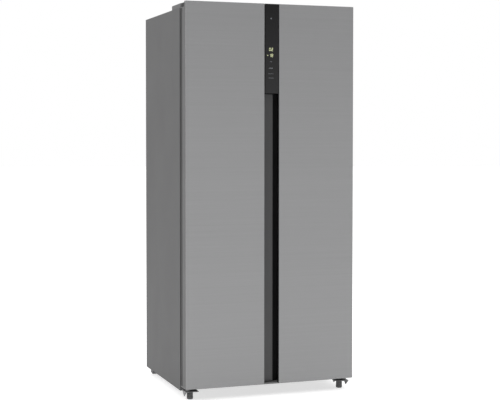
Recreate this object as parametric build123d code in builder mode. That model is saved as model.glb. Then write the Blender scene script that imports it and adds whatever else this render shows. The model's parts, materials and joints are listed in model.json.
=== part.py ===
"""Side by side refrigerator: freezer on the left, fresh food on the right.

Millimetres. +Z is up, the doors face -Y, +X is to the right of someone facing them.
The origin is on the floor under the middle of the appliance.
"""
import os

from build123d import *

os.makedirs("parts", exist_ok=True)

# ---- overall sizes ----------------------------------------------------------
width = 814.0
depth = 686.0            # glass face to cabinet back
height = 1790.0          # floor to door tops
cabinet_bottom = 35.0
cabinet_drop = 23.0      # cabinet top below the door tops

# ---- doors ------------------------------------------------------------------
door_bottom = 57.0
door_thickness = 82.0
door_gap = 3.5
centre_strip = 68.0      # between the two glass panels, gap included
glass = 4.0
glass_corner = 3.0
door_skin = 1.2
frame_depth = 52.0       # the metal pan reaches this far back, the inner liner the rest
end_cap = 4.0
end_cap_setback = 6.0    # lower cap's front edge behind the glass face
panel_height = 406.0     # control panel in the top of the centre strip
panel_drop = 1.0
panel_housing = 20.0
panel_border = 4.0
gasket_gap = 11.0
gasket_width = 12.0
gasket_inset = 24.0      # outside edge of the seal from the hinged edge of a door
dyke_clearance = 12.0    # raised rim of the inner liner inside the cabinet opening
dyke_width = 14.0
dyke_height = 22.0       # past the plane of the cabinet front
dyke_round = 5.0

# ---- handle channels --------------------------------------------------------
channel_wall = 2.0
lip = 10.0               # depth of the glass edge that the fingers pull on
finger_reach = 26.0      # left door, behind the glass edge
finger_depth = 32.0
recess_depth = 31.0      # shallow part of the recess in the right door
recess_width = 51.0
trench_depth = 60.0      # deep part, which undercuts the right glass
trench_reach = 14.0

# ---- cabinet ----------------------------------------------------------------
sheet = 1.0
base_sheet = 1.5
side_flange = 18.0
base_flange = 40.0
liner_wall = 1.6
side_insulation = 52.0
mullion = 69.0
floor_height = 95.0
ceiling_drop = 50.0      # liner ceiling below the cabinet top
back_insulation = 48.0
machine_depth = 230.0    # compressor compartment
machine_top = 255.0
step_insulation = 47.0
ledge = 6.0
ledge_height = 5.0

# ---- hinges and feet --------------------------------------------------------
pin_inset = 22.0
pin_depth = 45.0
pin_radius = 5.0
running_fit = 0.08
pin_length = 20.0
knuckle_radius = 8.0
knuckle_height = 15.0
plate_start = 7.0        # plates' front edge behind the cabinet front
plate_length = 97.0
plate_inset = 9.0
plate_width = 53.0
plate_screws = [(11.0, 20.0), (11.0, 80.0), (41.0, 80.0)]    # from its side, behind the cabinet front
bracket_screws = [15.0, 45.0]    # from the bracket's side
outer_ear = [(27.0, 38.0), (82.0, 38.0), (55.0, 16.0)]    # depth and height of its corners
inner_ear = [(45.0, 38.0), (80.0, 38.0), (62.0, 29.0)]
boss_radius = 9.0
boss_length = 18.0
hinge_plate = 3.0
arm_half_width = 9.0
cover_wall = 2.0
cover_clearance = 1.0
cover_height = 23.0
cover_length = 147.0
pocket_width = 38.0
pocket_front = 20.0
pocket_wall = 1.5
pocket_drop = 2.0        # pocket floor below the cabinet top
bracket_height = 38.0
bracket_front = 27.0
bracket_width = 61.0
bracket_inset = 7.0
bracket_flange = 17.0
thrust_gap = 0.4
screw_radius = 2.5
screw_head = 5.0
screw_fit = 0.1
foot_inset = 38.0
foot_depth = 67.0
foot_radius = 14.5
foot_disc = 14.0
foot_neck_radius = 14.0
foot_neck_top = 30.0
foot_socket = 6.0
stud_radius = 5.0
stud_top = 49.0
pad_chamfer = 4.0
roller_radius = 16.0
roller_width = 30.0
roller_inset = 37.0
roller_from_back = 24.0
roller_play = 1.0
roller_chamfer = 1.5
axle_radius = 4.0
ear = 2.0
ear_reach = 9.0

# ---- inside -----------------------------------------------------------------
shelf_heights = [300.0, 500.0, 780.0, 1060.0, 1340.0]
shelf_glass = 4.0
shelf_side_gap = 1.0
shelf_front = 205.0      # behind the glass face
shelf_trim = 18.0
trim_drop = 4.0
trim_height = 12.0
trim_round = 3.0
drawer_gap = 8.0
drawer_wall = 2.5
drawer_corner = 14.0
drawer_handle = 16.0
bin_heights = [150.0, 480.0, 810.0, 1140.0, 1450.0]
bin_height = 120.0
bin_reach = 88.0
bin_wall = 2.5
bin_corner = 18.0
bin_gap = 0.5
lamp_size = (150.0, 40.0, 6.0)
lamp_corner = 6.0
cover_sheet = 3.0
coil_space = 60.0        # between the evaporator cover and the back wall
coil_height = 270.0
coil_lift = 30.0
coil_margin = 16.0
coil_fins = 17
coil_rows = 7
vent_rows = [640.0, 820.0, 1220.0, 1500.0, 1660.0]
vent_width = 150.0
vent_slot = 6.0
vent_pitch = 12.0
vent_count = 5
duct_vents = [700.0, 980.0, 1260.0, 1450.0]
lamp_setback = 60.0
fin = 1.0
tube_radius = 4.0
duct_width = 140.0
duct_depth = 32.0
duct_wall = 4.0
duct_bottom = 560.0
crossover_height = 77.0
port = (25.0, 50.0)      # air passage through the mullion, deep and high
port_drop = 8.0          # below the ceiling
flap_drop = 120.0        # damper pivot below the ceiling
flap_thickness = 2.5
flap_rod = 1.5
flap_play = 1.0
cold_fan_radius = 50.0
cold_fan_height = 820.0
hot_fan_radius = 72.0
fan_length = 24.0
fan_hub = 14.0
fan_shaft = 2.5
fan_gap = 5.0
fan_air = 2.0
fan_blades = 5
blade_tilt = 32.0
blade_sheet = 2.0
blade_chord = 0.55      # of the fan's radius
blade_root = 5.0         # how far a blade's root is sunk in the hub
hot_fan_x = 40.0
hot_fan_lift = 22.0
motor_radius = 24.0
motor_length = 26.0
grille_sheet = 2.0
grille_banks = [-220.0, 0.0, 190.0]
grille_slot = 150.0
louvre = 6.0
louvre_pitch = 14.0
louvre_count = 11
inlet_inset = 60.0
inlet_lift = 40.0
gland_neck = 9.0
gland_bore = 4.0
gland_play = 0.3
gland_flange = 3.0
can_foot = 12.0
can_height = 150.0
can_length = 200.0
can_width = 140.0
can_round = 30.0
can_seam = 4.0
can_plate = 10.0          # how far the foot plate stands out
can_mount = 10.0
can_from_fan = 190.0
terminal_box = (22.0, 56.0, 60.0)    # standing out, wide and high
terminal_lift = 40.0
tray_height = 30.0
tray_margin = 10.0
tray_wall = 2.0
tray_corner = 20.0
condenser_near = 30.0     # from the fan
condenser_far = 220.0
condenser_margin = 15.0
condenser_lift = 12.0
condenser_drop = 20.0
condenser_fins = 20
condenser_tubes = 4
tube_spacing = (42.0, 46.0)
tube_end = 8.0

# ---- places worked out from the sizes ---------------------------------------
left, right = -width / 2, width / 2
front, back = -depth / 2, depth / 2
cabinet_top = height - cabinet_drop
cabinet_front = front + door_thickness + gasket_gap
glass_width = (width - centre_strip) / 2
mullion_middle = left + glass_width + door_gap / 2
door_width = {-1: glass_width, 1: glass_width + centre_strip - door_gap}
panel_bottom = height - panel_height
cap_top = door_bottom + end_cap
door_back = front + door_thickness
ceiling = cabinet_top - ceiling_drop
inner_back = back - back_insulation
machine_front = back - machine_depth
step_face = machine_front - step_insulation
step_top = shelf_heights[0]
freezer = (left + side_insulation, mullion_middle - mullion / 2)
fridge = (mullion_middle + mullion / 2, right - side_insulation)
room = {-1: freezer, 1: fridge}
dyke_back = cabinet_front + dyke_height
coil_cover = inner_back - coil_space
base_top = cabinet_bottom + base_sheet
cabinet_face = (cabinet_front, cabinet_front)
stud_bore = stud_radius + running_fit
screw_hole = screw_radius + screw_fit
glass_edge = left + glass_width
inside_x = (left + sheet, right - sheet)
flange_to_flange = (left + side_flange, right - side_flange)
strip_x = (glass_edge + door_gap, right - glass_width)
trench_x = (glass_edge + recess_width, right - glass_width + trench_reach)
roller_y = back - roller_from_back
pin_y = front + pin_depth
foot_y = front + foot_depth
top_screws = [(plate_inset + along, cabinet_front + behind) for along, behind in plate_screws]
low_screws = [bracket_inset + along for along in bracket_screws]
low_screw_height = bracket_height + bracket_flange / 2
names = {-1: "left", 1: "right"}


# ---- helpers ----------------------------------------------------------------
def middle(limits):
    """The middle of a pair of limits."""
    return sum(limits) / 2


def grown(limits, amount):
    """A pair of limits, each moved outwards."""
    return limits[0] - amount, limits[1] + amount


def block(x, y, z, mode=Mode.ADD):
    """Add or cut a block between pairs of limits along X, Y and Z."""
    with Locations((middle(x), middle(y), middle(z))):
        Box(x[1] - x[0], y[1] - y[0], z[1] - z[0], mode=mode)


def post(x, y, z, radius, mode=Mode.ADD):
    """Add or cut an upright cylinder."""
    with Locations((x, y, middle(z))):
        Cylinder(radius, z[1] - z[0], mode=mode)


def bar_x(x, y, z, radius, mode=Mode.ADD):
    """Add or cut a cylinder that lies along X."""
    with Locations(Location((middle(x), y, z), (0, 90, 0))):
        Cylinder(radius, x[1] - x[0], mode=mode)


def bar_y(x, y, z, radius, mode=Mode.ADD):
    """Add or cut a cylinder that lies along Y."""
    with Locations(Location((x, middle(y), z), (90, 0, 0))):
        Cylinder(radius, y[1] - y[0], mode=mode)


def ring(x, y, z, bar, mode=Mode.ADD):
    """Add or cut a rectangular frame that faces the front, its bars `bar` wide."""
    block((x[0], x[0] + bar), y, z, mode)
    block((x[1] - bar, x[1]), y, z, mode)
    block(x, y, (z[0], z[0] + bar), mode)
    block(x, y, (z[1] - bar, z[1]), mode)


def across(side, near, far):
    """X limits between two insets from the outer face on one side, -1 left and 1 right."""
    ends = (side * (right - near), side * (right - far))
    return min(ends), max(ends)


def inset(side, distance):
    """X at a distance in from the outer face on one side."""
    return side * (right - distance)


def tray(x, y, z, wall, corner):
    """Add an open-topped tray with rounded upright corners."""
    centre = (middle(x), middle(y))
    with BuildSketch(Plane.XY.offset(z[0])) as outside:
        with Locations(centre):
            RectangleRounded(x[1] - x[0], y[1] - y[0], corner)
    extrude(outside.sketch, amount=z[1] - z[0])
    with BuildSketch(Plane.XY.offset(z[0] + wall)) as inside:
        with Locations(centre):
            RectangleRounded(x[1] - x[0] - 2 * wall, y[1] - y[0] - 2 * wall, corner - wall)
    extrude(inside.sketch, amount=z[1] - z[0], mode=Mode.SUBTRACT)


def save(builder, name):
    """Label a finished piece and write its STEP file."""
    builder.part.label = name
    export_step(builder.part, f"parts/{name}.step")


# ---- cabinet shell ----------------------------------------------------------
for side, name in names.items():
    with BuildPart() as side_panel:
        block(across(side, 0, sheet), (cabinet_front, back), (cabinet_bottom, cabinet_top))
        block(across(side, 0, side_flange), (cabinet_front, cabinet_front + sheet),
              (cabinet_bottom, cabinet_top))
        for low_screw in low_screws:
            bar_y(inset(side, low_screw), grown(cabinet_face, 2 * sheet), low_screw_height, screw_hole,
                  Mode.SUBTRACT)
    save(side_panel, f"{name}_side_panel")

with BuildPart() as top_panel:
    block(inside_x, (cabinet_front + sheet, back), (cabinet_top - sheet, cabinet_top))
    block(flange_to_flange, (cabinet_front, cabinet_front + sheet),
          (cabinet_top - side_flange, cabinet_top))
    for side in names:
        for screw_inset, screw_y in top_screws:
            post(inset(side, screw_inset), screw_y, (cabinet_top - 2 * sheet, cabinet_top + sheet),
                 screw_hole, Mode.SUBTRACT)
save(top_panel, "top_panel")

with BuildPart() as back_panel:
    block(inside_x, (back - sheet, back), (machine_top + sheet, cabinet_top - sheet))
save(back_panel, "back_panel")

with BuildPart() as compressor_bulkhead:
    block(inside_x, (machine_front - sheet, machine_front), (base_top, machine_top + sheet))
    block(inside_x, (machine_front - sheet, back), (machine_top, machine_top + sheet))
save(compressor_bulkhead, "compressor_bulkhead")

ear_offset = roller_width / 2 + roller_play
with BuildPart() as base_panel:
    block(inside_x, (cabinet_front + sheet, back), (cabinet_bottom, base_top))
    block(flange_to_flange, (cabinet_front, cabinet_front + sheet),
          (cabinet_bottom, cabinet_bottom + base_flange))
    for side in names:
        for offset_sign in (-1, 1):
            ear_middle = roller_inset + offset_sign * (ear_offset + ear / 2)
            block(across(side, ear_middle - ear / 2, ear_middle + ear / 2),
                  (roller_y - roller_radius, roller_y + roller_radius),
                  (roller_radius - ear_reach, cabinet_bottom))
        bar_x(across(side, roller_inset - ear_offset - ear, roller_inset + ear_offset + ear), roller_y,
              roller_radius, axle_radius)
        for low_screw in low_screws:
            bar_y(inset(side, low_screw), grown(cabinet_face, 2 * sheet), low_screw_height, screw_hole,
                  Mode.SUBTRACT)
save(base_panel, "base_panel")


def compartment(side, grow):
    """The inside space of a compartment, which steps over the compressor, grown outwards."""
    x = grown(room[side], grow)
    with BuildPart() as space:
        with BuildSketch(Plane.YZ.offset(x[0])):
            with BuildLine():
                Polyline((cabinet_front, floor_height - grow), (step_face + grow, floor_height - grow),
                         (step_face + grow, step_top - grow), (inner_back + grow, step_top - grow),
                         (inner_back + grow, ceiling + grow), (cabinet_front, ceiling + grow), close=True)
            make_face()
        extrude(amount=x[1] - x[0])
    return space.part


port_y = (inner_back - port[0] - cover_sheet, inner_back - cover_sheet)
port_z = (ceiling - port[1] - port_drop, ceiling - port_drop)
port_x = (freezer[1] - 2 * liner_wall, fridge[0] + 2 * liner_wall)
hollows = {side: compartment(side, 0) for side in names}
liner_outsides = {side: compartment(side, liner_wall) for side in names}

for side, name in ((-1, "freezer_liner"), (1, "fridge_liner")):
    hollow = room[side]
    flange_x = sorted((hollow[(1 - side) // 2] - side * liner_wall, inset(side, side_flange)))
    with BuildPart() as liner:
        add(liner_outsides[side])
        block(flange_x, (cabinet_front, cabinet_front + liner_wall),
              (cabinet_bottom + base_flange, cabinet_top - side_flange))
        add(hollows[side], mode=Mode.SUBTRACT)
        for shelf_z in shelf_heights[1:]:
            for ledge_x in ((hollow[0], hollow[0] + ledge), (hollow[1] - ledge, hollow[1])):
                block(ledge_x, (front + shelf_front, coil_cover), (shelf_z - ledge_height, shelf_z))
        block(port_x, port_y, port_z, Mode.SUBTRACT)
    save(liner, name)

with BuildPart() as foam_insulation:
    block(inside_x, (cabinet_front + liner_wall, back - sheet),
          (base_top, cabinet_top - sheet))
    block((left, right), (machine_front - sheet, back), (cabinet_bottom, machine_top + sheet), Mode.SUBTRACT)
    for side in names:
        add(liner_outsides[side], mode=Mode.SUBTRACT)
    block(port_x, port_y, port_z, Mode.SUBTRACT)
save(foam_insulation, "foam_insulation")

with BuildPart() as mullion_cover:
    block((freezer[1] + liner_wall, fridge[0] - liner_wall), (cabinet_front, cabinet_front + liner_wall),
          (cabinet_bottom + base_flange, cabinet_top - side_flange))
save(mullion_cover, "mullion_cover")

# ---- hinges -----------------------------------------------------------------
plate_y = (cabinet_front + plate_start, cabinet_front + plate_length)


def hinge_outline(side, z, grow, plate_end):
    """Sketch the upper hinge's outline: a plate on the cabinet and an arm with a round nose."""
    plate_x = grown(across(side, plate_inset, plate_inset + plate_width), grow)
    plate_span = (plate_y[0] - grow, plate_end)
    arm = arm_half_width + grow
    with BuildSketch(Plane.XY.offset(z)) as outline:
        with Locations((middle(plate_x), middle(plate_span))):
            Rectangle(plate_x[1] - plate_x[0], plate_span[1] - plate_span[0])
        with Locations((inset(side, pin_inset), middle((pin_y, plate_y[1])))):
            Rectangle(2 * arm, plate_y[1] - pin_y)
        with Locations((inset(side, pin_inset), pin_y)):
            Circle(arm)
    return outline.sketch


cover_back = cabinet_front + cover_length
cover_grow = cover_clearance + cover_wall
cover_hollow_back = cover_back - cover_wall
cover_outer = {side: hinge_outline(side, cabinet_top, cover_grow, cover_back) for side in names}
cover_inner = {side: hinge_outline(side, cabinet_top, cover_clearance, cover_hollow_back) for side in names}
plate_shape = {side: hinge_outline(side, cabinet_top, 0, plate_y[1]) for side in names}

for side, name in names.items():
    pin_x = inset(side, pin_inset)
    with BuildPart() as upper_hinge:
        extrude(plate_shape[side], amount=hinge_plate)
        post(pin_x, pin_y, (cabinet_top - pin_length, cabinet_top + hinge_plate), pin_radius)
        post(pin_x, pin_y, (cabinet_top + hinge_plate, cabinet_top + knuckle_height), knuckle_radius)
        for screw_inset, screw_y in top_screws:
            post(inset(side, screw_inset), screw_y, (cabinet_top, cabinet_top + 2 * hinge_plate),
                 screw_hole, Mode.SUBTRACT)
    save(upper_hinge, f"{name}_upper_hinge")

    plate_x = across(side, bracket_inset, bracket_inset + bracket_width)
    plate_z = (bracket_height, bracket_height + hinge_plate)
    with BuildPart() as lower_hinge:
        block(plate_x, (front + bracket_front, cabinet_front), plate_z)
        block(plate_x, (cabinet_front - hinge_plate, cabinet_front),
              (bracket_height, bracket_height + bracket_flange))
        inner_inset = bracket_inset + bracket_width - hinge_plate
        for ear_inset, ear_shape in ((bracket_inset, outer_ear), (inner_inset, inner_ear)):
            ear_x = across(side, ear_inset, ear_inset + hinge_plate)
            with BuildSketch(Plane.YZ.offset(ear_x[0])):
                with BuildLine():
                    Polyline(*[(front + ear_depth, ear_z) for ear_depth, ear_z in ear_shape], close=True)
                make_face()
            extrude(amount=hinge_plate)
        post(pin_x, pin_y, (bracket_height, door_bottom + boss_length), pin_radius)
        post(pin_x, pin_y, (bracket_height, door_bottom - thrust_gap), boss_radius)
        post(inset(side, foot_inset), foot_y, grown(plate_z, hinge_plate), stud_bore, Mode.SUBTRACT)
        for low_screw in low_screws:
            bar_y(inset(side, low_screw), grown(cabinet_face, 2 * hinge_plate), low_screw_height, screw_hole,
                  Mode.SUBTRACT)
    save(lower_hinge, f"{name}_lower_hinge")

with BuildPart() as hinge_covers:
    for side in names:
        extrude(cover_outer[side], amount=cover_height)
    for side in names:
        extrude(cover_inner[side], amount=cover_height - cover_wall, mode=Mode.SUBTRACT)
save(hinge_covers, "hinge_covers")

plate_top = cabinet_top + hinge_plate
flange_face = cabinet_front - hinge_plate
with BuildPart() as hinge_screws:
    for side in names:
        for screw_inset, screw_y in top_screws:
            post(inset(side, screw_inset), screw_y, (cabinet_top - sheet, plate_top), screw_radius)
            post(inset(side, screw_inset), screw_y, (plate_top, plate_top + screw_radius), screw_head)
        for low_screw in low_screws:
            x = inset(side, low_screw)
            bar_y(x, (flange_face, cabinet_front + sheet), low_screw_height, screw_radius)
            bar_y(x, (flange_face - screw_radius, flange_face), low_screw_height, screw_head)
save(hinge_screws, "hinge_screws")

# ---- feet and rollers -------------------------------------------------------
for side, name in names.items():
    foot_x = inset(side, foot_inset)
    with BuildPart() as foot_stud:
        post(foot_x, foot_y, (foot_socket + running_fit, stud_top), stud_radius)
    save(foot_stud, f"{name}_foot_stud")

    with BuildPart() as foot_pad:
        post(foot_x, foot_y, (0, foot_disc), foot_radius)
        post(foot_x, foot_y, (foot_disc, foot_neck_top), foot_neck_radius)
        chamfer(foot_pad.edges().filter_by(GeomType.CIRCLE).group_by(Axis.Z)[0], pad_chamfer)
        post(foot_x, foot_y, (foot_socket, foot_neck_top + 1), stud_bore, Mode.SUBTRACT)
    save(foot_pad, f"{name}_foot_pad")

    with BuildPart() as roller:
        roller_x = across(side, roller_inset - roller_width / 2, roller_inset + roller_width / 2)
        bar_x(roller_x, roller_y, roller_radius, roller_radius)
        bar_x(grown(roller_x, 1), roller_y, roller_radius, axle_radius + running_fit, Mode.SUBTRACT)
        chamfer(roller.edges().filter_by(GeomType.CIRCLE).group_by(SortBy.RADIUS)[-1], roller_chamfer)
    save(roller, f"{name}_roller")

# ---- doors ------------------------------------------------------------------
glass_back = front + glass
pan_back = front + frame_depth
cap_z = {"lower": (door_bottom, cap_top), "upper": (height - end_cap, height)}
pocket_z = cabinet_top - pocket_drop
upper_boss = pocket_z - pocket_wall


def hinge_pocket(side, clearance):
    """Cut the space at a door's top corner that the hinge arm swings in, with its lining."""
    block(across(side, -1, pocket_width + clearance), (front + pocket_front - clearance, door_back + 1),
          (pocket_z - clearance, height + 1), Mode.SUBTRACT)


def hinge_bosses(side, radius, mode=Mode.ADD):
    """Add or cut the bushes that the hinge pins turn in."""
    for boss_z in ((upper_boss - boss_length, upper_boss), (cap_top, cap_top + boss_length)):
        post(inset(side, pin_inset), pin_y, boss_z, radius, mode)


def channel_space(side, wall):
    """Cut the handle channel's outside (wall 0) or its hollow (wall as given) from a door."""
    z = (cap_top, panel_bottom - wall)
    if side < 0:
        block((grip_x[0] + wall, grip_x[1] + 1), grown(grip_y, -wall), z, Mode.SUBTRACT)
    else:
        trench_front = front + lip + wall if wall else lining_front
        block((strip_x[0] - 1, strip_x[1]), (front - 1, recess_back - wall), z, Mode.SUBTRACT)
        block(grown(trench_x, channel_wall - wall), (trench_front, trench_back - wall), z, Mode.SUBTRACT)


grip_x = (glass_edge - finger_reach - channel_wall, glass_edge)
grip_y = (front + lip, front + lip + finger_depth + 2 * channel_wall)
lining_front = glass_back + door_skin
recess_back = front + recess_depth + channel_wall
trench_back = front + trench_depth + channel_wall
housing_x = grown(strip_x, -panel_border)
housing_z = (panel_bottom + panel_border, height - panel_drop - 2 * panel_border)

for side, name in names.items():
    x = across(side, 0, door_width[side])
    z = (cap_top, height - end_cap)
    glass_x = across(side, 0, glass_width)
    hollow = room[side]
    dyke_x = (hollow[0] + dyke_clearance, hollow[1] - dyke_clearance)
    dyke_z = (floor_height + dyke_clearance, ceiling - dyke_clearance)
    seal_x = across(side, gasket_inset, door_width[side] - gasket_width)
    seal_z = (floor_height - gasket_width, ceiling + gasket_width)

    with BuildPart() as door_glass:
        block(glass_x, (front, glass_back), (door_bottom, height))
        fillet(door_glass.edges().filter_by(Axis.Y), glass_corner)
    save(door_glass, f"{name}_door_glass")

    with BuildPart() as door_frame:
        block(x, (glass_back, pan_back), z)
        block(grown(x, -door_skin), (glass_back + door_skin, pan_back), z, Mode.SUBTRACT)
        hinge_pocket(side, pocket_wall)
        channel_space(side, 0)
        if side > 0:
            block(housing_x, (front, pan_back), housing_z, Mode.SUBTRACT)
    save(door_frame, f"{name}_door_frame")

    with BuildPart() as door_liner:
        block(x, (pan_back, door_back), z)
        ring(dyke_x, (door_back, dyke_back), dyke_z, dyke_width)
        block(grown(x, -door_skin), (pan_back, door_back - door_skin), z, Mode.SUBTRACT)
        ring(grown(dyke_x, -door_skin), (door_back - 2 * door_skin, dyke_back - door_skin),
             grown(dyke_z, -door_skin), dyke_width - 2 * door_skin, Mode.SUBTRACT)
        hinge_pocket(side, pocket_wall)
        fillet(door_liner.edges().filter_by(Axis.Y).group_by(Axis.Y)[-1], dyke_round)
    save(door_liner, f"{name}_door_liner")

    with BuildPart() as door_foam:
        block(grown(x, -door_skin), (glass_back + door_skin, door_back - door_skin), z)
        ring(grown(dyke_x, -door_skin), (door_back - door_skin, dyke_back - door_skin),
             grown(dyke_z, -door_skin), dyke_width - 2 * door_skin)
        hinge_pocket(side, pocket_wall)
        hinge_bosses(side, boss_radius, Mode.SUBTRACT)
        channel_space(side, 0)
        if side > 0:
            block(housing_x, (front, glass_back + panel_housing), housing_z, Mode.SUBTRACT)
    save(door_foam, f"{name}_door_foam")

    with BuildPart() as end_caps:
        block(x, (front + end_cap_setback, door_back), cap_z["lower"])
        block(x, (glass_back, door_back), cap_z["upper"])
        block(across(side, 0, pocket_width + pocket_wall), (front + pocket_front - pocket_wall, door_back),
              (upper_boss, height))
        hinge_pocket(side, 0)
        hinge_bosses(side, boss_radius)
        for bore_z in ((upper_boss - boss_length, pocket_z + 1), (door_bottom - 1, cap_top + boss_length)):
            post(inset(side, pin_inset), pin_y, bore_z, pin_radius + running_fit, Mode.SUBTRACT)
    save(end_caps, f"{name}_door_end_caps")

    with BuildPart() as gasket:
        ring(seal_x, (door_back, cabinet_front), seal_z, gasket_width)
    save(gasket, f"{name}_door_gasket")

    with BuildPart() as door_bins:
        for bin_z in bin_heights:
            tray(grown(dyke_x, -dyke_width - bin_gap), (door_back, door_back + bin_reach),
                 (bin_z, bin_z + bin_height), bin_wall, bin_corner)
    save(door_bins, f"{name}_door_bins")

with BuildPart() as left_channel:
    block(grip_x, grip_y, (cap_top, panel_bottom))
    channel_space(-1, channel_wall)
save(left_channel, "left_handle_channel")

with BuildPart() as right_channel:
    block(strip_x, (lining_front, recess_back), (cap_top, panel_bottom))
    block(grown(trench_x, channel_wall), (lining_front, trench_back), (cap_top, panel_bottom))
    channel_space(1, channel_wall)
save(right_channel, "right_handle_channel")

with BuildPart() as control_panel:
    block(strip_x, (front, glass_back), (panel_bottom, height - panel_drop))
    block(housing_x, (glass_back, glass_back + panel_housing), housing_z)
save(control_panel, "control_panel")

# ---- shelves, drawers and lamps ---------------------------------------------
for side, name in ((-1, "freezer"), (1, "fridge")):
    hollow = room[side]
    shelf_x = grown(hollow, -shelf_side_gap)
    shelf_y = (front + shelf_front, coil_cover - shelf_side_gap)
    trim_y = (shelf_y[0], shelf_y[0] + shelf_trim)
    pane_y = (shelf_y[0] + shelf_trim / 3, shelf_y[1])
    with BuildPart() as shelf_glasses:
        for shelf_z in shelf_heights:
            block(shelf_x, pane_y, (shelf_z, shelf_z + shelf_glass))
    save(shelf_glasses, f"{name}_shelf_glasses")

    trim_x = grown(hollow, -ledge - shelf_side_gap)
    with BuildPart() as shelf_trims:
        for shelf_z in shelf_heights:
            block(trim_x, trim_y, (shelf_z - trim_drop, shelf_z - trim_drop + trim_height))
        fillet(shelf_trims.edges().filter_by(Axis.X).group_by(Axis.Y)[0], trim_round)
        for shelf_z in shelf_heights:
            block(shelf_x, pane_y, (shelf_z, shelf_z + shelf_glass), Mode.SUBTRACT)
    save(shelf_trims, f"{name}_shelf_trims")

    drawer_x = grown(hollow, -drawer_gap)
    handle_x = grown(drawer_x, -drawer_corner)
    drawer_spaces = ((floor_height, shelf_heights[0], step_face),
                     (step_top + shelf_glass, shelf_heights[1], coil_cover))
    for number, (drawer_floor, shelf_above, space_back) in enumerate(drawer_spaces, 1):
        drawer_top = shelf_above - trim_drop - drawer_gap
        drawer_y = (front + shelf_front + shelf_trim, space_back - drawer_gap)
        handle_y = drawer_y[0] - drawer_handle
        handle_z = drawer_top - trim_height
        with BuildPart() as drawer:
            tray(drawer_x, drawer_y, (drawer_floor, drawer_top), drawer_wall, drawer_corner)
            block(handle_x, (handle_y, drawer_y[0] + drawer_wall), (handle_z - drawer_wall, handle_z))
            block(handle_x, (handle_y, handle_y + drawer_wall),
                  (handle_z - drawer_wall - trim_height, handle_z))
        save(drawer, f"freezer_drawer_{number}" if side < 0 else f"crisper_{number}")

lamp_y = cabinet_front + lamp_setback
with BuildPart() as lamps:
    for side in names:
        lamp_x = middle(room[side])
        block(grown((lamp_x, lamp_x), lamp_size[0] / 2), (lamp_y, lamp_y + lamp_size[1]),
              (ceiling - lamp_size[2], ceiling))
    fillet(lamps.edges().filter_by(Axis.Z), lamp_corner)
save(lamps, "lamps")

# ---- cold side: evaporator, its cover and fan, the duct and its damper -------
fan_x = middle(freezer)
fan_y = coil_cover + fan_gap
motor_y = fan_y + fan_length + fan_air
with BuildPart() as evaporator_cover:
    block(freezer, (coil_cover, coil_cover + cover_sheet), (step_top + shelf_glass, ceiling))
    for vent_z in vent_rows:
        with BuildSketch(Plane.XZ.offset(-coil_cover)):
            with Locations((fan_x, vent_z)):
                with GridLocations(0, vent_pitch, 1, vent_count):
                    SlotOverall(vent_width, vent_slot)
        extrude(amount=-cover_sheet, mode=Mode.SUBTRACT)
save(evaporator_cover, "evaporator_cover")

coil_x = grown(freezer, -coil_margin)
coil_z = (step_top + coil_lift, step_top + coil_lift + coil_height)
coil_y = (coil_cover + cover_sheet + fan_gap, inner_back)
with BuildPart() as evaporator:
    for number in range(coil_fins):
        x = coil_x[0] + number * (coil_x[1] - coil_x[0] - fin) / (coil_fins - 1)
        block((x, x + fin), coil_y, coil_z)
    for row in range(coil_rows):
        tube_z = coil_z[0] + (row + 0.5) * coil_height / coil_rows
        for tube_y in ((coil_y[0] + middle(coil_y)) / 2, (middle(coil_y) + coil_y[1]) / 2):
            bar_x(grown(coil_x, 2 * tube_radius), tube_y, tube_z, tube_radius)
save(evaporator, "evaporator")

duct_y = (inner_back - duct_depth, inner_back)
duct_x = grown((middle(fridge), middle(fridge)), duct_width / 2)
flap_z = ceiling - crossover_height - flap_drop
flap_y = inner_back - duct_wall
with BuildPart() as air_duct:
    block(duct_x, duct_y, (duct_bottom, ceiling))
    block((fridge[0], duct_x[1]), duct_y, (ceiling - crossover_height, ceiling))
    block(grown(duct_x, -duct_wall), (duct_y[0] + duct_wall, duct_y[1]),
          (duct_bottom + duct_wall, ceiling - duct_wall), Mode.SUBTRACT)
    block((fridge[0], duct_x[1] - duct_wall), (duct_y[0] + duct_wall, duct_y[1]),
          (ceiling - crossover_height + duct_wall, ceiling - duct_wall), Mode.SUBTRACT)
    for vent_z in duct_vents:
        with BuildSketch(Plane.XZ.offset(-duct_y[0])):
            with Locations((middle(duct_x), vent_z)):
                with GridLocations(0, vent_pitch, 1, vent_count):
                    SlotOverall(duct_width / 2, vent_slot)
        extrude(amount=-duct_wall, mode=Mode.SUBTRACT)
    bar_x(grown(duct_x, -duct_wall / 2), flap_y, flap_z, flap_rod + running_fit, Mode.SUBTRACT)
save(air_duct, "fridge_air_duct")

with BuildPart() as damper_flap:
    block(grown(duct_x, -duct_wall - flap_play), (duct_y[0] + duct_wall + flap_play, flap_y),
          grown((flap_z, flap_z), flap_thickness / 2))
    bar_x(grown(duct_x, -(duct_wall + flap_play) / 2), flap_y, flap_z, flap_rod)
save(damper_flap, "damper_flap")


def fan_rotor(plane, radius):
    """A fan with tilted blades, its hub bored for the motor shaft, blowing along the plane's axis."""
    with BuildPart(plane) as rotor:
        Cylinder(fan_hub, fan_length, align=(Align.CENTER, Align.CENTER, Align.MIN))
        with PolarLocations((radius + fan_hub) / 2, fan_blades):
            with Locations(Location((0, 0, fan_length / 2), (blade_tilt, 0, 0))):
                Box(radius - fan_hub + 2 * blade_root, radius * blade_chord, blade_sheet)
        Cylinder(radius, fan_length, align=(Align.CENTER, Align.CENTER, Align.MIN), mode=Mode.INTERSECT)
        Cylinder(fan_shaft + running_fit, 3 * fan_length, mode=Mode.SUBTRACT)
    return rotor


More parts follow.
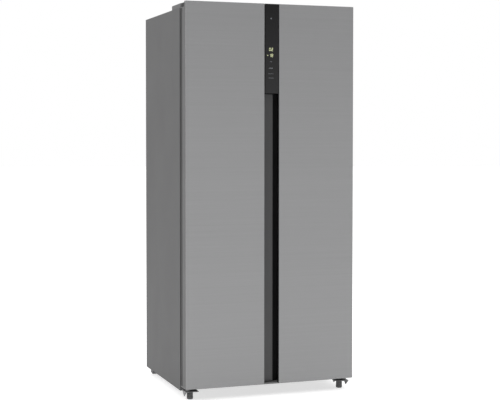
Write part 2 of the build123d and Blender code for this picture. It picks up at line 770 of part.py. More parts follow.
hot_fan_z = base_top + hot_fan_radius + hot_fan_lift
motor_x = hot_fan_x + fan_length + fan_air
machine_middle = (machine_front + back) / 2
cold_fan_plane = Plane((fan_x, fan_y, cold_fan_height), x_dir=(1, 0, 0), z_dir=(0, 1, 0))
hot_fan_plane = Plane((hot_fan_x, machine_middle, hot_fan_z), x_dir=(0, 1, 0), z_dir=(1, 0, 0))
save(fan_rotor(cold_fan_plane, cold_fan_radius), "evaporator_fan")
save(fan_rotor(hot_fan_plane, hot_fan_radius), "condenser_fan")

with BuildPart() as fan_motors:
    bar_y(fan_x, (motor_y, inner_back), cold_fan_height, motor_radius)
    bar_y(fan_x, (fan_y, motor_y), cold_fan_height, fan_shaft)
    bar_x((motor_x, motor_x + motor_length), machine_middle, hot_fan_z, motor_radius)
    bar_x((hot_fan_x, motor_x), machine_middle, hot_fan_z, fan_shaft)
    block((motor_x + motor_length / 3, motor_x + 2 * motor_length / 3),
          grown((machine_middle, machine_middle), motor_radius), (base_top, hot_fan_z))
save(fan_motors, "fan_motors")

# ---- warm side: compressor, condenser, drip tray, grille and inlet ----------
can_x = (hot_fan_x + can_from_fan - can_length / 2, hot_fan_x + can_from_fan + can_length / 2)
can_y = grown((machine_middle, machine_middle), can_width / 2)
can_z = (base_top + can_foot, base_top + can_foot + can_height)
can_centre = (middle(can_x), machine_middle)
with BuildPart() as compressor:
    with BuildSketch(Plane.XY.offset(can_z[0])):
        with Locations(can_centre):
            Ellipse(can_length / 2, can_width / 2)
    extrude(amount=can_height)
    fillet(compressor.edges().group_by(Axis.Z)[-1], can_round)
    fillet(compressor.edges().group_by(Axis.Z)[0], can_round / 2)
    with BuildSketch(Plane.XY.offset(middle(can_z))):
        with Locations(can_centre):
            Ellipse(can_length / 2 + can_seam, can_width / 2 + can_seam)
    extrude(amount=can_seam)
    block(grown(can_x, can_plate), can_y, (can_z[0], can_z[0] + hinge_plate))
    with Locations((*can_centre, middle((base_top, can_z[0])))):
        with GridLocations(can_length, can_width - 3 * can_mount, 2, 2):
            Cylinder(can_mount, can_foot)
    block((can_x[0] - terminal_box[0], can_x[0] + can_mount * 2),
          grown((machine_middle, machine_middle), terminal_box[1] / 2),
          (can_z[0] + terminal_lift, can_z[0] + terminal_lift + terminal_box[2]))
save(compressor, "compressor")

with BuildPart() as drip_tray:
    tray(can_x, grown(can_y, tray_margin), (can_z[1], can_z[1] + tray_height), tray_wall, tray_corner)
save(drip_tray, "drip_tray")

condenser_x = (hot_fan_x - condenser_far, hot_fan_x - condenser_near)
condenser_y = grown((machine_front, back), -condenser_margin)
condenser_z = (base_top + condenser_lift, machine_top - condenser_drop)
tube_z = (base_top, condenser_z[1] + tube_end)
with BuildPart() as condenser:
    for number in range(condenser_fins):
        z = condenser_z[0] + number * (condenser_z[1] - condenser_z[0] - fin) / (condenser_fins - 1)
        block(condenser_x, condenser_y, (z, z + fin))
    with Locations((middle(condenser_x), middle(condenser_y), middle(tube_z))):
        with GridLocations(*tube_spacing, condenser_tubes, condenser_tubes):
            Cylinder(tube_radius, tube_z[1] - tube_z[0])
save(condenser, "condenser")

grille_z = (base_top, machine_top)
inlet_x = right - inlet_inset
inlet_z = base_top + inlet_lift
with BuildPart() as rear_grille:
    block(inside_x, (back - grille_sheet, back), grille_z)
    with BuildSketch(Plane.XZ.offset(-back)):
        for bank_x in grille_banks:
            with Locations((bank_x, middle(grille_z))):
                with GridLocations(0, louvre_pitch, 1, louvre_count):
                    SlotOverall(grille_slot, louvre)
    extrude(amount=grille_sheet, mode=Mode.SUBTRACT)
    bar_y(inlet_x, grown((back, back), 2 * grille_sheet), inlet_z, gland_neck + gland_play, Mode.SUBTRACT)
save(rear_grille, "rear_grille")

with BuildPart() as power_inlet:
    bar_y(inlet_x, (back - 3 * grille_sheet, back), inlet_z, gland_neck)
    bar_y(inlet_x, (back - 6 * grille_sheet, back - grille_sheet), inlet_z, gland_neck + gland_flange)
    bar_y(inlet_x, grown((back, back), 10 * grille_sheet), inlet_z, gland_bore, Mode.SUBTRACT)
save(power_inlet, "power_inlet")
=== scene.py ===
"""The side by side refrigerator's looks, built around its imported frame. Metres, doors face -Y."""
import json
import math

import bmesh
import bpy
from mathutils import Matrix, Vector


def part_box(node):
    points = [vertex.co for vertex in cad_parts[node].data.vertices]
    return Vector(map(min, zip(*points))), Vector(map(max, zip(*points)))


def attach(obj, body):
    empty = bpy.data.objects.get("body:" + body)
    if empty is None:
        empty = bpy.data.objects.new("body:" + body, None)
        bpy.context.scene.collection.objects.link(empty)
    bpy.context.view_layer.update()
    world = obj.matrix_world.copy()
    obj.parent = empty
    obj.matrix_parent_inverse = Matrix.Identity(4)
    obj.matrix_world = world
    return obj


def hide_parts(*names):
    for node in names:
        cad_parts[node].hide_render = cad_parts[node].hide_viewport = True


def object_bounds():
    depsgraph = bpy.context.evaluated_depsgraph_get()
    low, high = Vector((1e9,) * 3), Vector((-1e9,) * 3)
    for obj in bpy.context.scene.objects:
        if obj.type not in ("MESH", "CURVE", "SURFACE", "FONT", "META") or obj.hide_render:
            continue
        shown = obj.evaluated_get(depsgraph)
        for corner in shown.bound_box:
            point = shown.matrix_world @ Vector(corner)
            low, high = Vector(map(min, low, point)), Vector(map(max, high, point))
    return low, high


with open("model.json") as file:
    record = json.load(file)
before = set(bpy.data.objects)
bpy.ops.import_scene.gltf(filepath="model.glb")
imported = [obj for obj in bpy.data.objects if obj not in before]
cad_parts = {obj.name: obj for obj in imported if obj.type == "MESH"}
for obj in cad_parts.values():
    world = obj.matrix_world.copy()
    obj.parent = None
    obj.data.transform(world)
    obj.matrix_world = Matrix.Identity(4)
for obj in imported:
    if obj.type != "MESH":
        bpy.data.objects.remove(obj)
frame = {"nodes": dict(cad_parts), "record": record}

bl_info = {
    "name": "Side by Side Refrigerator Finish",
    "version": (1, 0, 0),
    "blender": (4, 5, 0),
    "location": "View3D > Sidebar > Refrigerator",
    "description": "Models and finishes the visible pieces of a side by side refrigerator on its frame",
    "category": "Object",
}

CAD_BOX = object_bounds()
NODES = frame["nodes"]
SIDES = {"left": -1, "right": 1}
AXES = {"X": (1, 0, 0), "Y": (0, 1, 0), "Z": (0, 0, 1)}
SMOOTH_ANGLE = math.radians(34)
MM = 0.001
TOUCH = 1e-5                                   # places closer than this, in metres, are the same
SHELF_LEVELS = (300, 500, 780, 1060, 1340)     # undersides of the shelf glasses, in millimetres
BIN_LEVELS = (150, 480, 810, 1140, 1450)       # floors of the door bins, in millimetres

# The camera's place, its turn about X and Z in degrees, its lens and the shift of its frame.
CAMERA_PLACE = (-1.9052, -5.3242, 1.1899)
CAMERA_TURN = (90 - 1.897, -19.239)
CAMERA_LENS, CAMERA_SHIFT = 84.329, (0.0263, -0.05)


# ---- sizes and colours that a user would change ------------------------------
def length_property(name, description, default, low, high):
    """The length of a detail."""
    return bpy.props.FloatProperty(name=name, description=description, default=default, min=low, max=high,
                                   precision=4, unit="LENGTH")


def colour_property(name, description, default):
    """A colour property with alpha left out."""
    return bpy.props.FloatVectorProperty(name=name, description=description, default=default,
                                         subtype="COLOR", size=3, min=0.0, max=1.0)


class FridgeSizes(bpy.types.PropertyGroup):
    """Sizes of the details that the finish adds to the frame."""
    glass_bevel: length_property("Glass bevel", "Width of the polished bevel round each door glass",
                                 0.0012, 0.0002, 0.002)
    glass_corner: length_property("Glass corner", "Radius of the door glass corners", 0.003, 0.001, 0.02)
    liner_corner: length_property("Liner corner", "Radius of the moulded corners inside the compartments",
                                  0.014, 0.002, 0.03)
    cover_round: length_property("Cover rounding", "Rounding of the moulded covers' edges",
                                 0.0025, 0.0005, 0.006)
    digit_height: length_property("Digit height", "Height of the temperature digits on the control panel",
                                  0.0125, 0.005, 0.03)
    rib_pitch: length_property("Rib pitch", "Spacing of the moulded ribs in the drawers", 0.022, 0.01, 0.06)


class FridgeColours(bpy.types.PropertyGroup):
    """Linear colours of the finishes."""
    glass_film: colour_property("Glass film", "Grey film behind the door glass", (0.205, 0.206, 0.209))
    cabinet: colour_property("Cabinet", "Painted steel of the cabinet", (0.076, 0.076, 0.077))
    door_edge: colour_property("Door edge", "Painted steel of the door sides", (0.080, 0.080, 0.081))
    door_rim: colour_property("Door rim", "Plastic of the door liners' outer rim", (0.011, 0.011, 0.0115))
    # The channel's near-black is partly its own black and partly painted shade of the deep handle recess.
    channel: colour_property("Handle channel", "Black of the handle channels", (0.0008, 0.0008, 0.0009))
    recess: colour_property("Recess wall", "Grey wall of the handle recess", (0.066, 0.066, 0.067))
    liner: colour_property("Liner", "White plastic inside the compartments", (0.80, 0.82, 0.83))
    zinc: colour_property("Zinc", "Zinc plated hinges, feet and fasteners", (0.56, 0.57, 0.58))
    digits: colour_property("Digits", "Glow of the display", (0.86, 0.90, 0.52))


def sizes():
    """The sizes held by the current scene."""
    return bpy.context.scene.fridge_sizes


def colours():
    """The colours held by the current scene."""
    return bpy.context.scene.fridge_colours


# ---- shader nodes ---------------------------------------------------------------
def add_node(tree, kind, inputs=None, **settings):
    """A node of a kind; inputs holds values or sockets to link, by name or number."""
    node = tree.nodes.new(kind)
    for key, value in settings.items():
        setattr(node, key, value)
    for key, value in (inputs or {}).items():
        socket = node.inputs[key]
        if isinstance(value, bpy.types.NodeSocket):
            tree.links.new(value, socket)
        else:
            socket.default_value = value
    return node


def math_node(tree, operation, first, second, clamp=False):
    """The output of a Math node."""
    return add_node(tree, "ShaderNodeMath", {0: first, 1: second}, operation=operation,
                    use_clamp=clamp).outputs[0]


def times(tree, first, second, clamp=False):
    """The product of two values or sockets."""
    return math_node(tree, "MULTIPLY", first, second, clamp)


def plus(tree, first, second, clamp=False):
    """The sum of two values or sockets."""
    return math_node(tree, "ADD", first, second, clamp)


def remap(tree, value, low, high, to_low=0.0, to_high=1.0):
    """The output of a Map Range node."""
    return add_node(tree, "ShaderNodeMapRange", {"Value": value, "From Min": low, "From Max": high,
                                                 "To Min": to_low, "To Max": to_high}).outputs["Result"]


def object_coordinates(tree):
    """The object coordinates socket."""
    return add_node(tree, "ShaderNodeTexCoord").outputs["Object"]


def stretched(tree, scale):
    """Object coordinates multiplied by a scale along each axis."""
    return add_node(tree, "ShaderNodeVectorMath", {0: object_coordinates(tree), 1: scale},
                    operation="MULTIPLY").outputs["Vector"]


def noise(tree, point, scale, detail=2.0, **more):
    """The factor of a Noise Texture node."""
    return add_node(tree, "ShaderNodeTexNoise", {"Vector": point, "Scale": scale, "Detail": detail,
                                                 **more}).outputs["Fac"]


def height_along(tree, vector, axis):
    """One component of a vector socket."""
    return add_node(tree, "ShaderNodeSeparateXYZ", {"Vector": vector}).outputs[axis]


def new_group(name, inputs, outputs):
    """A shader node group with float inputs {name: default} and named float outputs."""
    group = bpy.data.node_groups.new(name, "ShaderNodeTree")
    for label, default in inputs.items():
        socket = group.interface.new_socket(name=label, in_out="INPUT", socket_type="NodeSocketFloat")
        socket.default_value = default
    for label in outputs:
        group.interface.new_socket(name=label, in_out="OUTPUT", socket_type="NodeSocketFloat")
    return group, group.nodes.new("NodeGroupInput").outputs, group.nodes.new("NodeGroupOutput").inputs


def build_moulded_grain():
    """Fine spark-eroded grain with broad faint blotches, for moulded plastic and powder paint."""
    group, given, result = new_group(
        "Moulded grain", {"Grain size": 900.0, "Roughness": 0.5, "Roughness spread": 0.1},
        ("Shade", "Roughness", "Height"))
    point = object_coordinates(group)
    grain = noise(group, point, given["Grain size"], 2.0, Roughness=0.55)
    broad = noise(group, point, 5.0, 3.0)
    shade = plus(group, times(group, grain, 0.35), times(group, broad, 0.65))
    spread = times(group, math_node(group, "SUBTRACT", shade, 0.5), given["Roughness spread"])
    group.links.new(shade, result["Shade"])
    group.links.new(plus(group, given["Roughness"], spread, True), result["Roughness"])
    group.links.new(grain, result["Height"])
    return group


def build_brushed_lines():
    """Fine lines that run along X, as on brushed steel or a brushed film."""
    group, given, result = new_group("Brushed lines", {"Lines": 1400.0, "Length": 3.0, "Contrast": 1.0},
                                     ("Shade", "Height"))
    along = add_node(group, "ShaderNodeCombineXYZ", {"X": given["Length"], "Y": given["Lines"],
                                                     "Z": given["Lines"]}).outputs["Vector"]
    point = stretched(group, along)
    fine = noise(group, point, 1.0, 3.0, Roughness=0.7)
    bands = noise(group, point, 0.16)
    both = plus(group, times(group, fine, 0.6), times(group, bands, 0.4))
    centred = times(group, math_node(group, "SUBTRACT", both, 0.5), given["Contrast"])
    group.links.new(plus(group, centred, 0.5, True), result["Shade"])
    group.links.new(fine, result["Height"])
    return group


def build_handling():
    """Faint smears and settled dust: a mask that is stronger on faces that look up."""
    group, given, result = new_group("Handling and dust", {"Dust": 0.3, "Smears": 0.3}, ("Dust", "Smears"))
    normal = add_node(group, "ShaderNodeNewGeometry").outputs["Normal"]
    facing_up = remap(group, height_along(group, normal, "Z"), 0.35, 1.0)
    speckle = remap(group, noise(group, object_coordinates(group), 38.0, 6.0), 0.35, 0.7)
    streaks = noise(group, stretched(group, (7.0, 7.0, 3.0)), 1.0, 4.0, Distortion=0.8)
    smear = remap(group, streaks, 0.45, 0.75)
    group.links.new(times(group, times(group, facing_up, speckle), given["Dust"], True), result["Dust"])
    group.links.new(times(group, smear, given["Smears"], True), result["Smears"])
    return group


BUILDERS = {"Moulded grain": build_moulded_grain, "Brushed lines": build_brushed_lines,
            "Handling and dust": build_handling}
GROUPS = {}


def effect_node(tree, name, **inputs):
    """The outputs of one of the shared effects, placed in a material with its own values."""
    if name not in GROUPS:
        GROUPS[name] = BUILDERS[name]()
    node = tree.nodes.new("ShaderNodeGroup")
    node.node_tree = GROUPS[name]
    for key, value in inputs.items():
        node.inputs[key.replace("_", " ")].default_value = value
    return node.outputs


# ---- materials ----------------------------------------------------------------
def start_material(name, **constants):
    """A material with one Principled BSDF, whose constant sockets are set here."""
    material = bpy.data.materials.new(name)
    material.use_nodes = True
    tree = material.node_tree
    shader = next(n for n in tree.nodes if n.type == "BSDF_PRINCIPLED")
    for key, value in constants.items():
        shader.inputs[key.replace("_", " ")].default_value = value
    material.diffuse_color = (0.5, 0.5, 0.5, 1.0)
    return material, tree, shader.inputs


def blend_colours(tree, factor, dark, light):
    """The colour between two colours, or colour sockets, by a factor."""
    node = tree.nodes.new("ShaderNodeMix")
    node.data_type = "RGBA"
    for socket, value in ((node.inputs[6], dark), (node.inputs[7], light)):
        if isinstance(value, bpy.types.NodeSocket):
            tree.links.new(value, socket)
        else:
            socket.default_value = (*value, 1.0)
    tree.links.new(factor, node.inputs[0])
    return node.outputs[2]


def bump(tree, shader, height, distance):
    """Feed a height through a Bump node to the shader."""
    node = add_node(tree, "ShaderNodeBump", {"Height": height, "Distance": distance, "Strength": 1.0})
    tree.links.new(node.outputs["Normal"], shader["Normal"])


def scaled(colour, factor):
    """A colour made lighter or darker."""
    return tuple(min(1.0, c * factor) for c in colour)


def moulded(name, colour, roughness=0.45, grain=900.0, depth=6e-5, dust=0.25, tone=0.10, **constants):
    """Moulded plastic or painted metal with a fine grain, tone changes and a little dust."""
    material, tree, shader = start_material(name, **constants)
    effect = effect_node(tree, "Moulded grain", Grain_size=grain, Roughness=roughness, Roughness_spread=0.12)
    handling = effect_node(tree, "Handling and dust", Dust=dust, Smears=0.25)
    tinted = blend_colours(tree, effect["Shade"], scaled(colour, 1 - tone), scaled(colour, 1 + tone))
    dusty = blend_colours(tree, handling["Dust"], tinted, tuple(0.75 * c + 0.10 for c in colour))
    tree.links.new(dusty, shader["Base Color"])
    smeared = plus(tree, effect["Roughness"], times(tree, handling["Smears"], 0.08), True)
    tree.links.new(smeared, shader["Roughness"])
    bump(tree, shader, effect["Height"], depth)
    return material


def metal(name, colour, roughness=0.3, lines=1400.0, length=3.0, contrast=0.8, metallic=1.0):
    """Rolled, drawn or plated metal with fine lines."""
    material, tree, shader = start_material(name, Metallic=metallic)
    effect = effect_node(tree, "Brushed lines", Lines=lines, Length=length, Contrast=contrast)
    handling = effect_node(tree, "Handling and dust", Dust=0.15, Smears=0.5)
    tinted = blend_colours(tree, effect["Shade"], scaled(colour, 0.82), scaled(colour, 1.12))
    tree.links.new(tinted, shader["Base Color"])
    rough = plus(tree, times(tree, effect["Shade"], 0.12), times(tree, handling["Smears"], 0.2))
    tree.links.new(plus(tree, rough, roughness - 0.06, True), shader["Roughness"])
    bump(tree, shader, effect["Height"], 3e-5)
    return material


def film_glass(name, colour):
    """Grey door glass: a brushed film seen through clear glass, whose polish is the coat."""
    material, tree, shader = start_material(name, Metallic=0.1, Coat_Weight=1.0, Coat_Roughness=0.09,
                                            Coat_IOR=1.52, IOR=1.5)
    film = effect_node(tree, "Brushed lines", Lines=900.0, Length=5.0, Contrast=0.8)
    handling = effect_node(tree, "Handling and dust", Dust=0.0, Smears=0.4)
    tinted = blend_colours(tree, film["Shade"], scaled(colour, 0.86), scaled(colour, 1.14))
    tree.links.new(tinted, shader["Base Color"])
    rough = plus(tree, times(tree, film["Shade"], 0.16), times(tree, handling["Smears"], 0.10))
    tree.links.new(plus(tree, rough, 0.30, True), shader["Roughness"])
    return material


def clear(name, colour, roughness=0.06, alpha=0.35):
    """Clear or tinted plastic and glass, seen through by its alpha."""
    material, tree, shader = start_material(name, IOR=1.49, Coat_Weight=0.4, Coat_Roughness=0.04)
    effect = effect_node(tree, "Moulded grain", Grain_size=260.0, Roughness=roughness, Roughness_spread=0.06)
    tree.links.new(blend_colours(tree, effect["Shade"], scaled(colour, 0.94), colour), shader["Base Color"])
    tree.links.new(effect["Roughness"], shader["Roughness"])
    edge = add_node(tree, "ShaderNodeLayerWeight", {"Blend": 0.28}).outputs["Facing"]
    tree.links.new(remap(tree, edge, 0.0, 1.0, alpha, min(1.0, alpha + 0.5)), shader["Alpha"])
    return material


def glowing(name, colour, strength):
    """A lit marking or lamp, a little uneven across its face."""
    material, tree, shader = start_material(name, Emission_Strength=strength, Roughness=0.4)
    effect = effect_node(tree, "Moulded grain", Grain_size=400.0, Roughness=0.4, Roughness_spread=0.1)
    lit = blend_colours(tree, effect["Shade"], scaled(colour, 0.85), colour)
    tree.links.new(lit, shader["Emission Color"])
    tree.links.new(lit, shader["Base Color"])
    return material


MATERIALS = {}


def make_materials():
    """Every finish of the refrigerator, by name: its maker, its colour and its settings."""
    paint = colours()
    finishes = {
        "cabinet_grey": (moulded, paint.cabinet, dict(
            roughness=0.5, grain=620.0, depth=8e-5, dust=0.08, tone=0.03, Specular_IOR_Level=0.18)),
        "door_frame_grey": (moulded, paint.door_edge, dict(depth=5e-5, tone=0.03, Specular_IOR_Level=0.2)),
        "door_rim_grey": (moulded, paint.door_rim, dict(
            roughness=0.5, grain=1100.0, tone=0.04, Specular_IOR_Level=0.2)),
        "door_glass_grey": (film_glass, paint.glass_film, {}),
        "glass_bevel": (moulded, (0.012, 0.012, 0.013), dict(
            grain=1400.0, depth=2e-5, dust=0.0, Specular_IOR_Level=0.1)),
        "glass_edge": (moulded, (0.008, 0.008, 0.009), dict(
            roughness=0.4, grain=1400.0, depth=2e-5, dust=0.0, Specular_IOR_Level=0.1)),
        "panel_black_glass": (moulded, (0.003, 0.003, 0.0033), dict(
            roughness=0.32, grain=1500.0, depth=2e-6, dust=0.0, Coat_Weight=1.0, Coat_Roughness=0.03,
            Specular_IOR_Level=0.05)),
        # Near-black with no specular: partly the channel's black plastic, partly painted shade of the deep
        # recess.
        "handle_channel_black": (moulded, paint.channel, dict(
            roughness=0.8, grain=1000.0, dust=0.0, Specular_IOR_Level=0.0)),
        "recess_grey": (metal, paint.recess, dict(
            roughness=0.36, lines=1300.0, length=2.0, contrast=0.7, metallic=0.35)),
        "cover_grey_plastic": (moulded, (0.072, 0.072, 0.074), dict(roughness=0.5, grain=1000.0, tone=0.05)),
        "cap_grey_plastic": (moulded, (0.13, 0.13, 0.132), dict(roughness=0.5, grain=1000.0, tone=0.05)),
        "galvanised_steel": (metal, (0.36, 0.365, 0.375), dict(
            roughness=0.46, lines=90.0, length=60.0, contrast=1.0, metallic=0.7)),
        "hinge_grey": (metal, (0.18, 0.18, 0.184), dict(
            roughness=0.5, lines=700.0, length=30.0, contrast=0.6, metallic=0.2)),
        "roller_grey": (moulded, (0.10, 0.10, 0.102), dict(roughness=0.5, dust=0.3)),
        "zinc": (metal, paint.zinc, dict(roughness=0.26, lines=900.0, length=60.0, contrast=0.7)),
        "insulation_foam": (moulded, (0.72, 0.62, 0.34), dict(
            roughness=0.9, grain=420.0, depth=4e-4, tone=0.2)),
        "white_liner": (moulded, paint.liner, dict(
            roughness=0.34, grain=760.0, depth=4e-5, dust=0.0, tone=0.015, Subsurface_Weight=0.04)),
        "aluminium_coil": (metal, (0.72, 0.73, 0.74), dict(lines=800.0, length=20.0)),
        "black_painted_steel": (moulded, (0.012, 0.012, 0.012), dict(
            roughness=0.35, grain=700.0, depth=1e-4, dust=0.5)),
        "foot_grey": (moulded, (0.085, 0.085, 0.086), dict(roughness=0.5, dust=0.2, Specular_IOR_Level=0.4)),
        "black_plastic": (moulded, (0.018, 0.018, 0.019), dict(
            roughness=0.55, dust=0.3, Specular_IOR_Level=0.25)),
        "gasket_grey": (moulded, (0.17, 0.17, 0.175), dict(roughness=0.62, grain=1200.0, dust=0.1)),
        "shelf_glass": (clear, (0.62, 0.86, 0.80), dict(roughness=0.03, alpha=0.30)),
        "shelf_trim_silver": (metal, (0.62, 0.63, 0.64), dict(
            roughness=0.28, lines=1500.0, length=2.0, contrast=0.5, metallic=0.8)),
        "clear_plastic": (clear, (0.82, 0.89, 0.92), dict(roughness=0.12, alpha=0.42)),
        "lamp_diffuser": (glowing, (1.0, 0.98, 0.93), dict(strength=5.0)),
        "white_plastic_flap": (moulded, (0.74, 0.74, 0.75), dict(roughness=0.5)),
        "display_glow": (glowing, paint.digits, dict(strength=0.16)),
        "display_mark": (glowing, (0.26, 0.27, 0.29), dict(strength=0.07)),
    }
    for name, (make, colour, settings) in finishes.items():
        MATERIALS[name] = make(name, tuple(colour), **settings)


# ---- mesh helpers ---------------------------------------------------------------
def mm(x, y, z):
    """A vector given in millimetres."""
    return Vector((x, y, z)) * MM


def finish_piece(bm, name, material, body="cabinet", replaces=(), extra=()):
    """Turn a bmesh into a finished piece that rides on a body."""
    for face in bm.faces:
        face.smooth = True
    for edge in bm.edges:
        edge.smooth = len(edge.link_faces) == 2 and edge.calc_face_angle(0.0) < SMOOTH_ANGLE
    mesh = bpy.data.meshes.new(name)
    bm.to_mesh(mesh)
    bm.free()
    piece = bpy.data.objects.new(name, mesh)
    bpy.context.scene.collection.objects.link(piece)
    for key in (material, *extra):
        mesh.materials.append(MATERIALS[key])
    weighted = piece.modifiers.new("Weighted normals", "WEIGHTED_NORMAL")
    weighted.keep_sharp = True
    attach(piece, body)
    if replaces:
        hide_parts(*replaces)


def round_edges(bm, edges, radius, segments=4):
    """Round some edges of a mesh."""
    return bmesh.ops.bevel(bm, geom=edges, offset=radius, segments=segments, affect="EDGES", profile=0.5,
                           material=-1)


def edges_along(bm, axis, where=None):
    """The edges that run along an axis, given by its number, and pass a test of their middle."""
    others = [k for k in range(3) if k != axis]
    found = []
    for edge in bm.edges:
        first, second = edge.verts[0].co, edge.verts[1].co
        straight = all(abs(first[k] - second[k]) < 1e-6 for k in others)
        if straight and (where is None or where((first + second) / 2)):
            found.append(edge)
    return found


def front_edges(bm):
    """The edges of the face that lies furthest to the front."""
    return list(min(bm.faces, key=lambda f: f.calc_center_median().y).edges)


def new_verts(made):
    """The vertices among the geometry that an extrusion made."""
    return [v for v in made["geom"] if isinstance(v, bmesh.types.BMVert)]


def turn_verts(bm, verts, centre, angle, axis="Y"):
    """Turn some vertices about an axis through a centre."""
    bmesh.ops.rotate(bm, verts=verts, cent=centre, matrix=Matrix.Rotation(angle, 3, axis))


def add_block(bm, low, high, bevel=0.0, segments=2):
    """Add a block between two corners, its edges rounded."""
    size = Vector(high) - Vector(low)
    centre = (Vector(high) + Vector(low)) / 2
    place = Matrix.Translation(centre) @ Matrix.Diagonal((*size, 1.0))
    made = bmesh.ops.create_cube(bm, size=1.0, matrix=place)
    if bevel:
        edges = list({e for v in made["verts"] for e in v.link_edges})
        made = round_edges(bm, edges, min(bevel, 0.49 * min(size)), segments)
    return made["verts"]


def add_disc(bm, centre, radius, depth, axis="Z", segments=40, bevel=0.5 * MM):
    """Add a cylinder about a centre, its rims rounded."""
    turn = {"Y": Matrix.Rotation(-math.pi / 2, 4, "X"), "Z": Matrix.Identity(4)}[axis]
    made = bmesh.ops.create_cone(bm, cap_ends=True, segments=segments, radius1=radius, radius2=radius,
                                 depth=depth, matrix=Matrix.Translation(centre) @ turn)
    rims = [e for e in {e for v in made["verts"] for e in v.link_edges}
            if any(len(f.verts) > 4 for f in e.link_faces)]
    round_edges(bm, rims, bevel, 2)


def add_prism(bm, points, low, high, axis="Z"):
    """Add an outline, given by its corners, extruded between two levels along an axis."""
    place = {"X": lambda p: (low, *p), "Y": lambda p: (p[0], low, p[1]), "Z": lambda p: (*p, low)}[axis]
    verts = [bm.verts.new(place(p)) for p in points]
    moved = new_verts(bmesh.ops.extrude_face_region(bm, geom=[bm.faces.new(verts)]))
    bmesh.ops.translate(bm, verts=moved, vec=Vector(AXES[axis]) * (high - low))
    bmesh.ops.recalc_face_normals(bm, faces=list({f for v in verts + moved for f in v.link_faces}))


def add_turned(bm, points, centre, axis, steps, closed=False, turns=1, climb=0.0):
    """Add an outline of points turned about an axis; it winds as a thread where it climbs."""
    verts = [bm.verts.new(point) for point in points]
    ends = verts[1:] + verts[:1] if closed else verts[1:]
    edges = [bm.edges.new(pair) for pair in zip(verts, ends)]
    bmesh.ops.spin(bm, geom=verts + edges, cent=centre, axis=AXES[axis], angle=math.tau * turns,
                   steps=steps * turns, dvec=(0, 0, climb / steps), use_merge=not climb)
    bmesh.ops.remove_doubles(bm, verts=bm.verts[:], dist=1e-6)
    bmesh.ops.recalc_face_normals(bm, faces=bm.faces[:])


def add_ring(bm, x, z, section, corner=0.0):
    """Add a rectangular ring that faces the front, swept from a section of (inset, y) corners."""
    loops = []
    for inset, y in section:
        corners = [(x[0] + inset, z[0] + inset), (x[1] - inset, z[0] + inset),
                   (x[1] - inset, z[1] - inset), (x[0] + inset, z[1] - inset)]
        loops.append([bm.verts.new((cx, y, cz)) for cx, cz in corners])
    pairs = list(zip(loops, loops[1:] + loops[:1]))
    for first, second in pairs:
        for i in range(4):
            j = (i + 1) % 4
            bm.faces.new((first[i], first[j], second[j], second[i]))
    bmesh.ops.recalc_face_normals(bm, faces=list({f for loop in loops for v in loop for f in v.link_faces}))
    if corner:
        mitres = [bm.edges.get((first[i], second[i])) for first, second in pairs for i in range(4)]
        round_edges(bm, mitres, corner, 5)


def take_in(bm, other):
    """Move the mesh of another bmesh into this one."""
    carrier = bpy.data.meshes.new("carrier")
    other.to_mesh(carrier)
    other.free()
    bm.from_mesh(carrier)
    bpy.data.meshes.remove(carrier)


def rounded_slab(low, high, axis, corner, segments):
    """A block of its own whose edges along one axis are rounded."""
    slab = bmesh.new()
    add_block(slab, low, high)
    round_edges(slab, edges_along(slab, axis), corner, segments)
    return slab


def add_tub(bm, low, high, corner, floor_round, wall=2.5 * MM, rim=0.9 * MM):
    """Add an open box with rounded corners, a rounded floor edge and a rolled rim."""
    tub = rounded_slab(low, high, 2, corner, 6)
    floor = [e for e in tub.edges if all(v.co.z < low[2] + TOUCH for v in e.verts)]
    round_edges(tub, floor, floor_round, 3)

    def top_faces():
        return [f for f in tub.faces if f.calc_center_median().z > high[2] - TOUCH]
    bmesh.ops.delete(tub, geom=top_faces(), context="FACES_ONLY")
    bmesh.ops.solidify(tub, geom=tub.faces[:], thickness=wall)
    bmesh.ops.inset_region(tub, faces=top_faces(), thickness=wall * 0.25, depth=0.0, use_even_offset=True)
    inner = [f for f in top_faces() if f.normal.z > 0.5]
    moved = {v for f in inner for v in f.verts}
    lifted = [v for v in moved if all(f in inner for f in v.link_faces)]
    bmesh.ops.translate(tub, verts=lifted, vec=(0, 0, rim))
    take_in(bm, tub)


def paint_node(name, key):
    """Give a carried-over CAD node its finish."""
    materials = NODES[name].data.materials
    materials.clear()
    materials.append(MATERIALS[key])


# ---- operators: the doors' outside ------------------------------------------------
class FRIDGE_OT_finish_frame(bpy.types.Operator):
    """Give every carried-over piece of the frame its finish"""
    bl_idname = "fridge.finish_frame"
    bl_label = "Finish frame pieces"

    def execute(self, context):
        make_materials()
        for part in frame["record"]["subparts"]:
            paint_node(part["node"], part["material_slot"])
        for name in ("left_upper_hinge", "right_upper_hinge", "hinge_screws"):
            paint_node(name, "zinc")
        for name in ("left_lower_hinge", "right_lower_hinge", "base_panel"):
            paint_node(name, "hinge_grey")
        return {"FINISHED"}


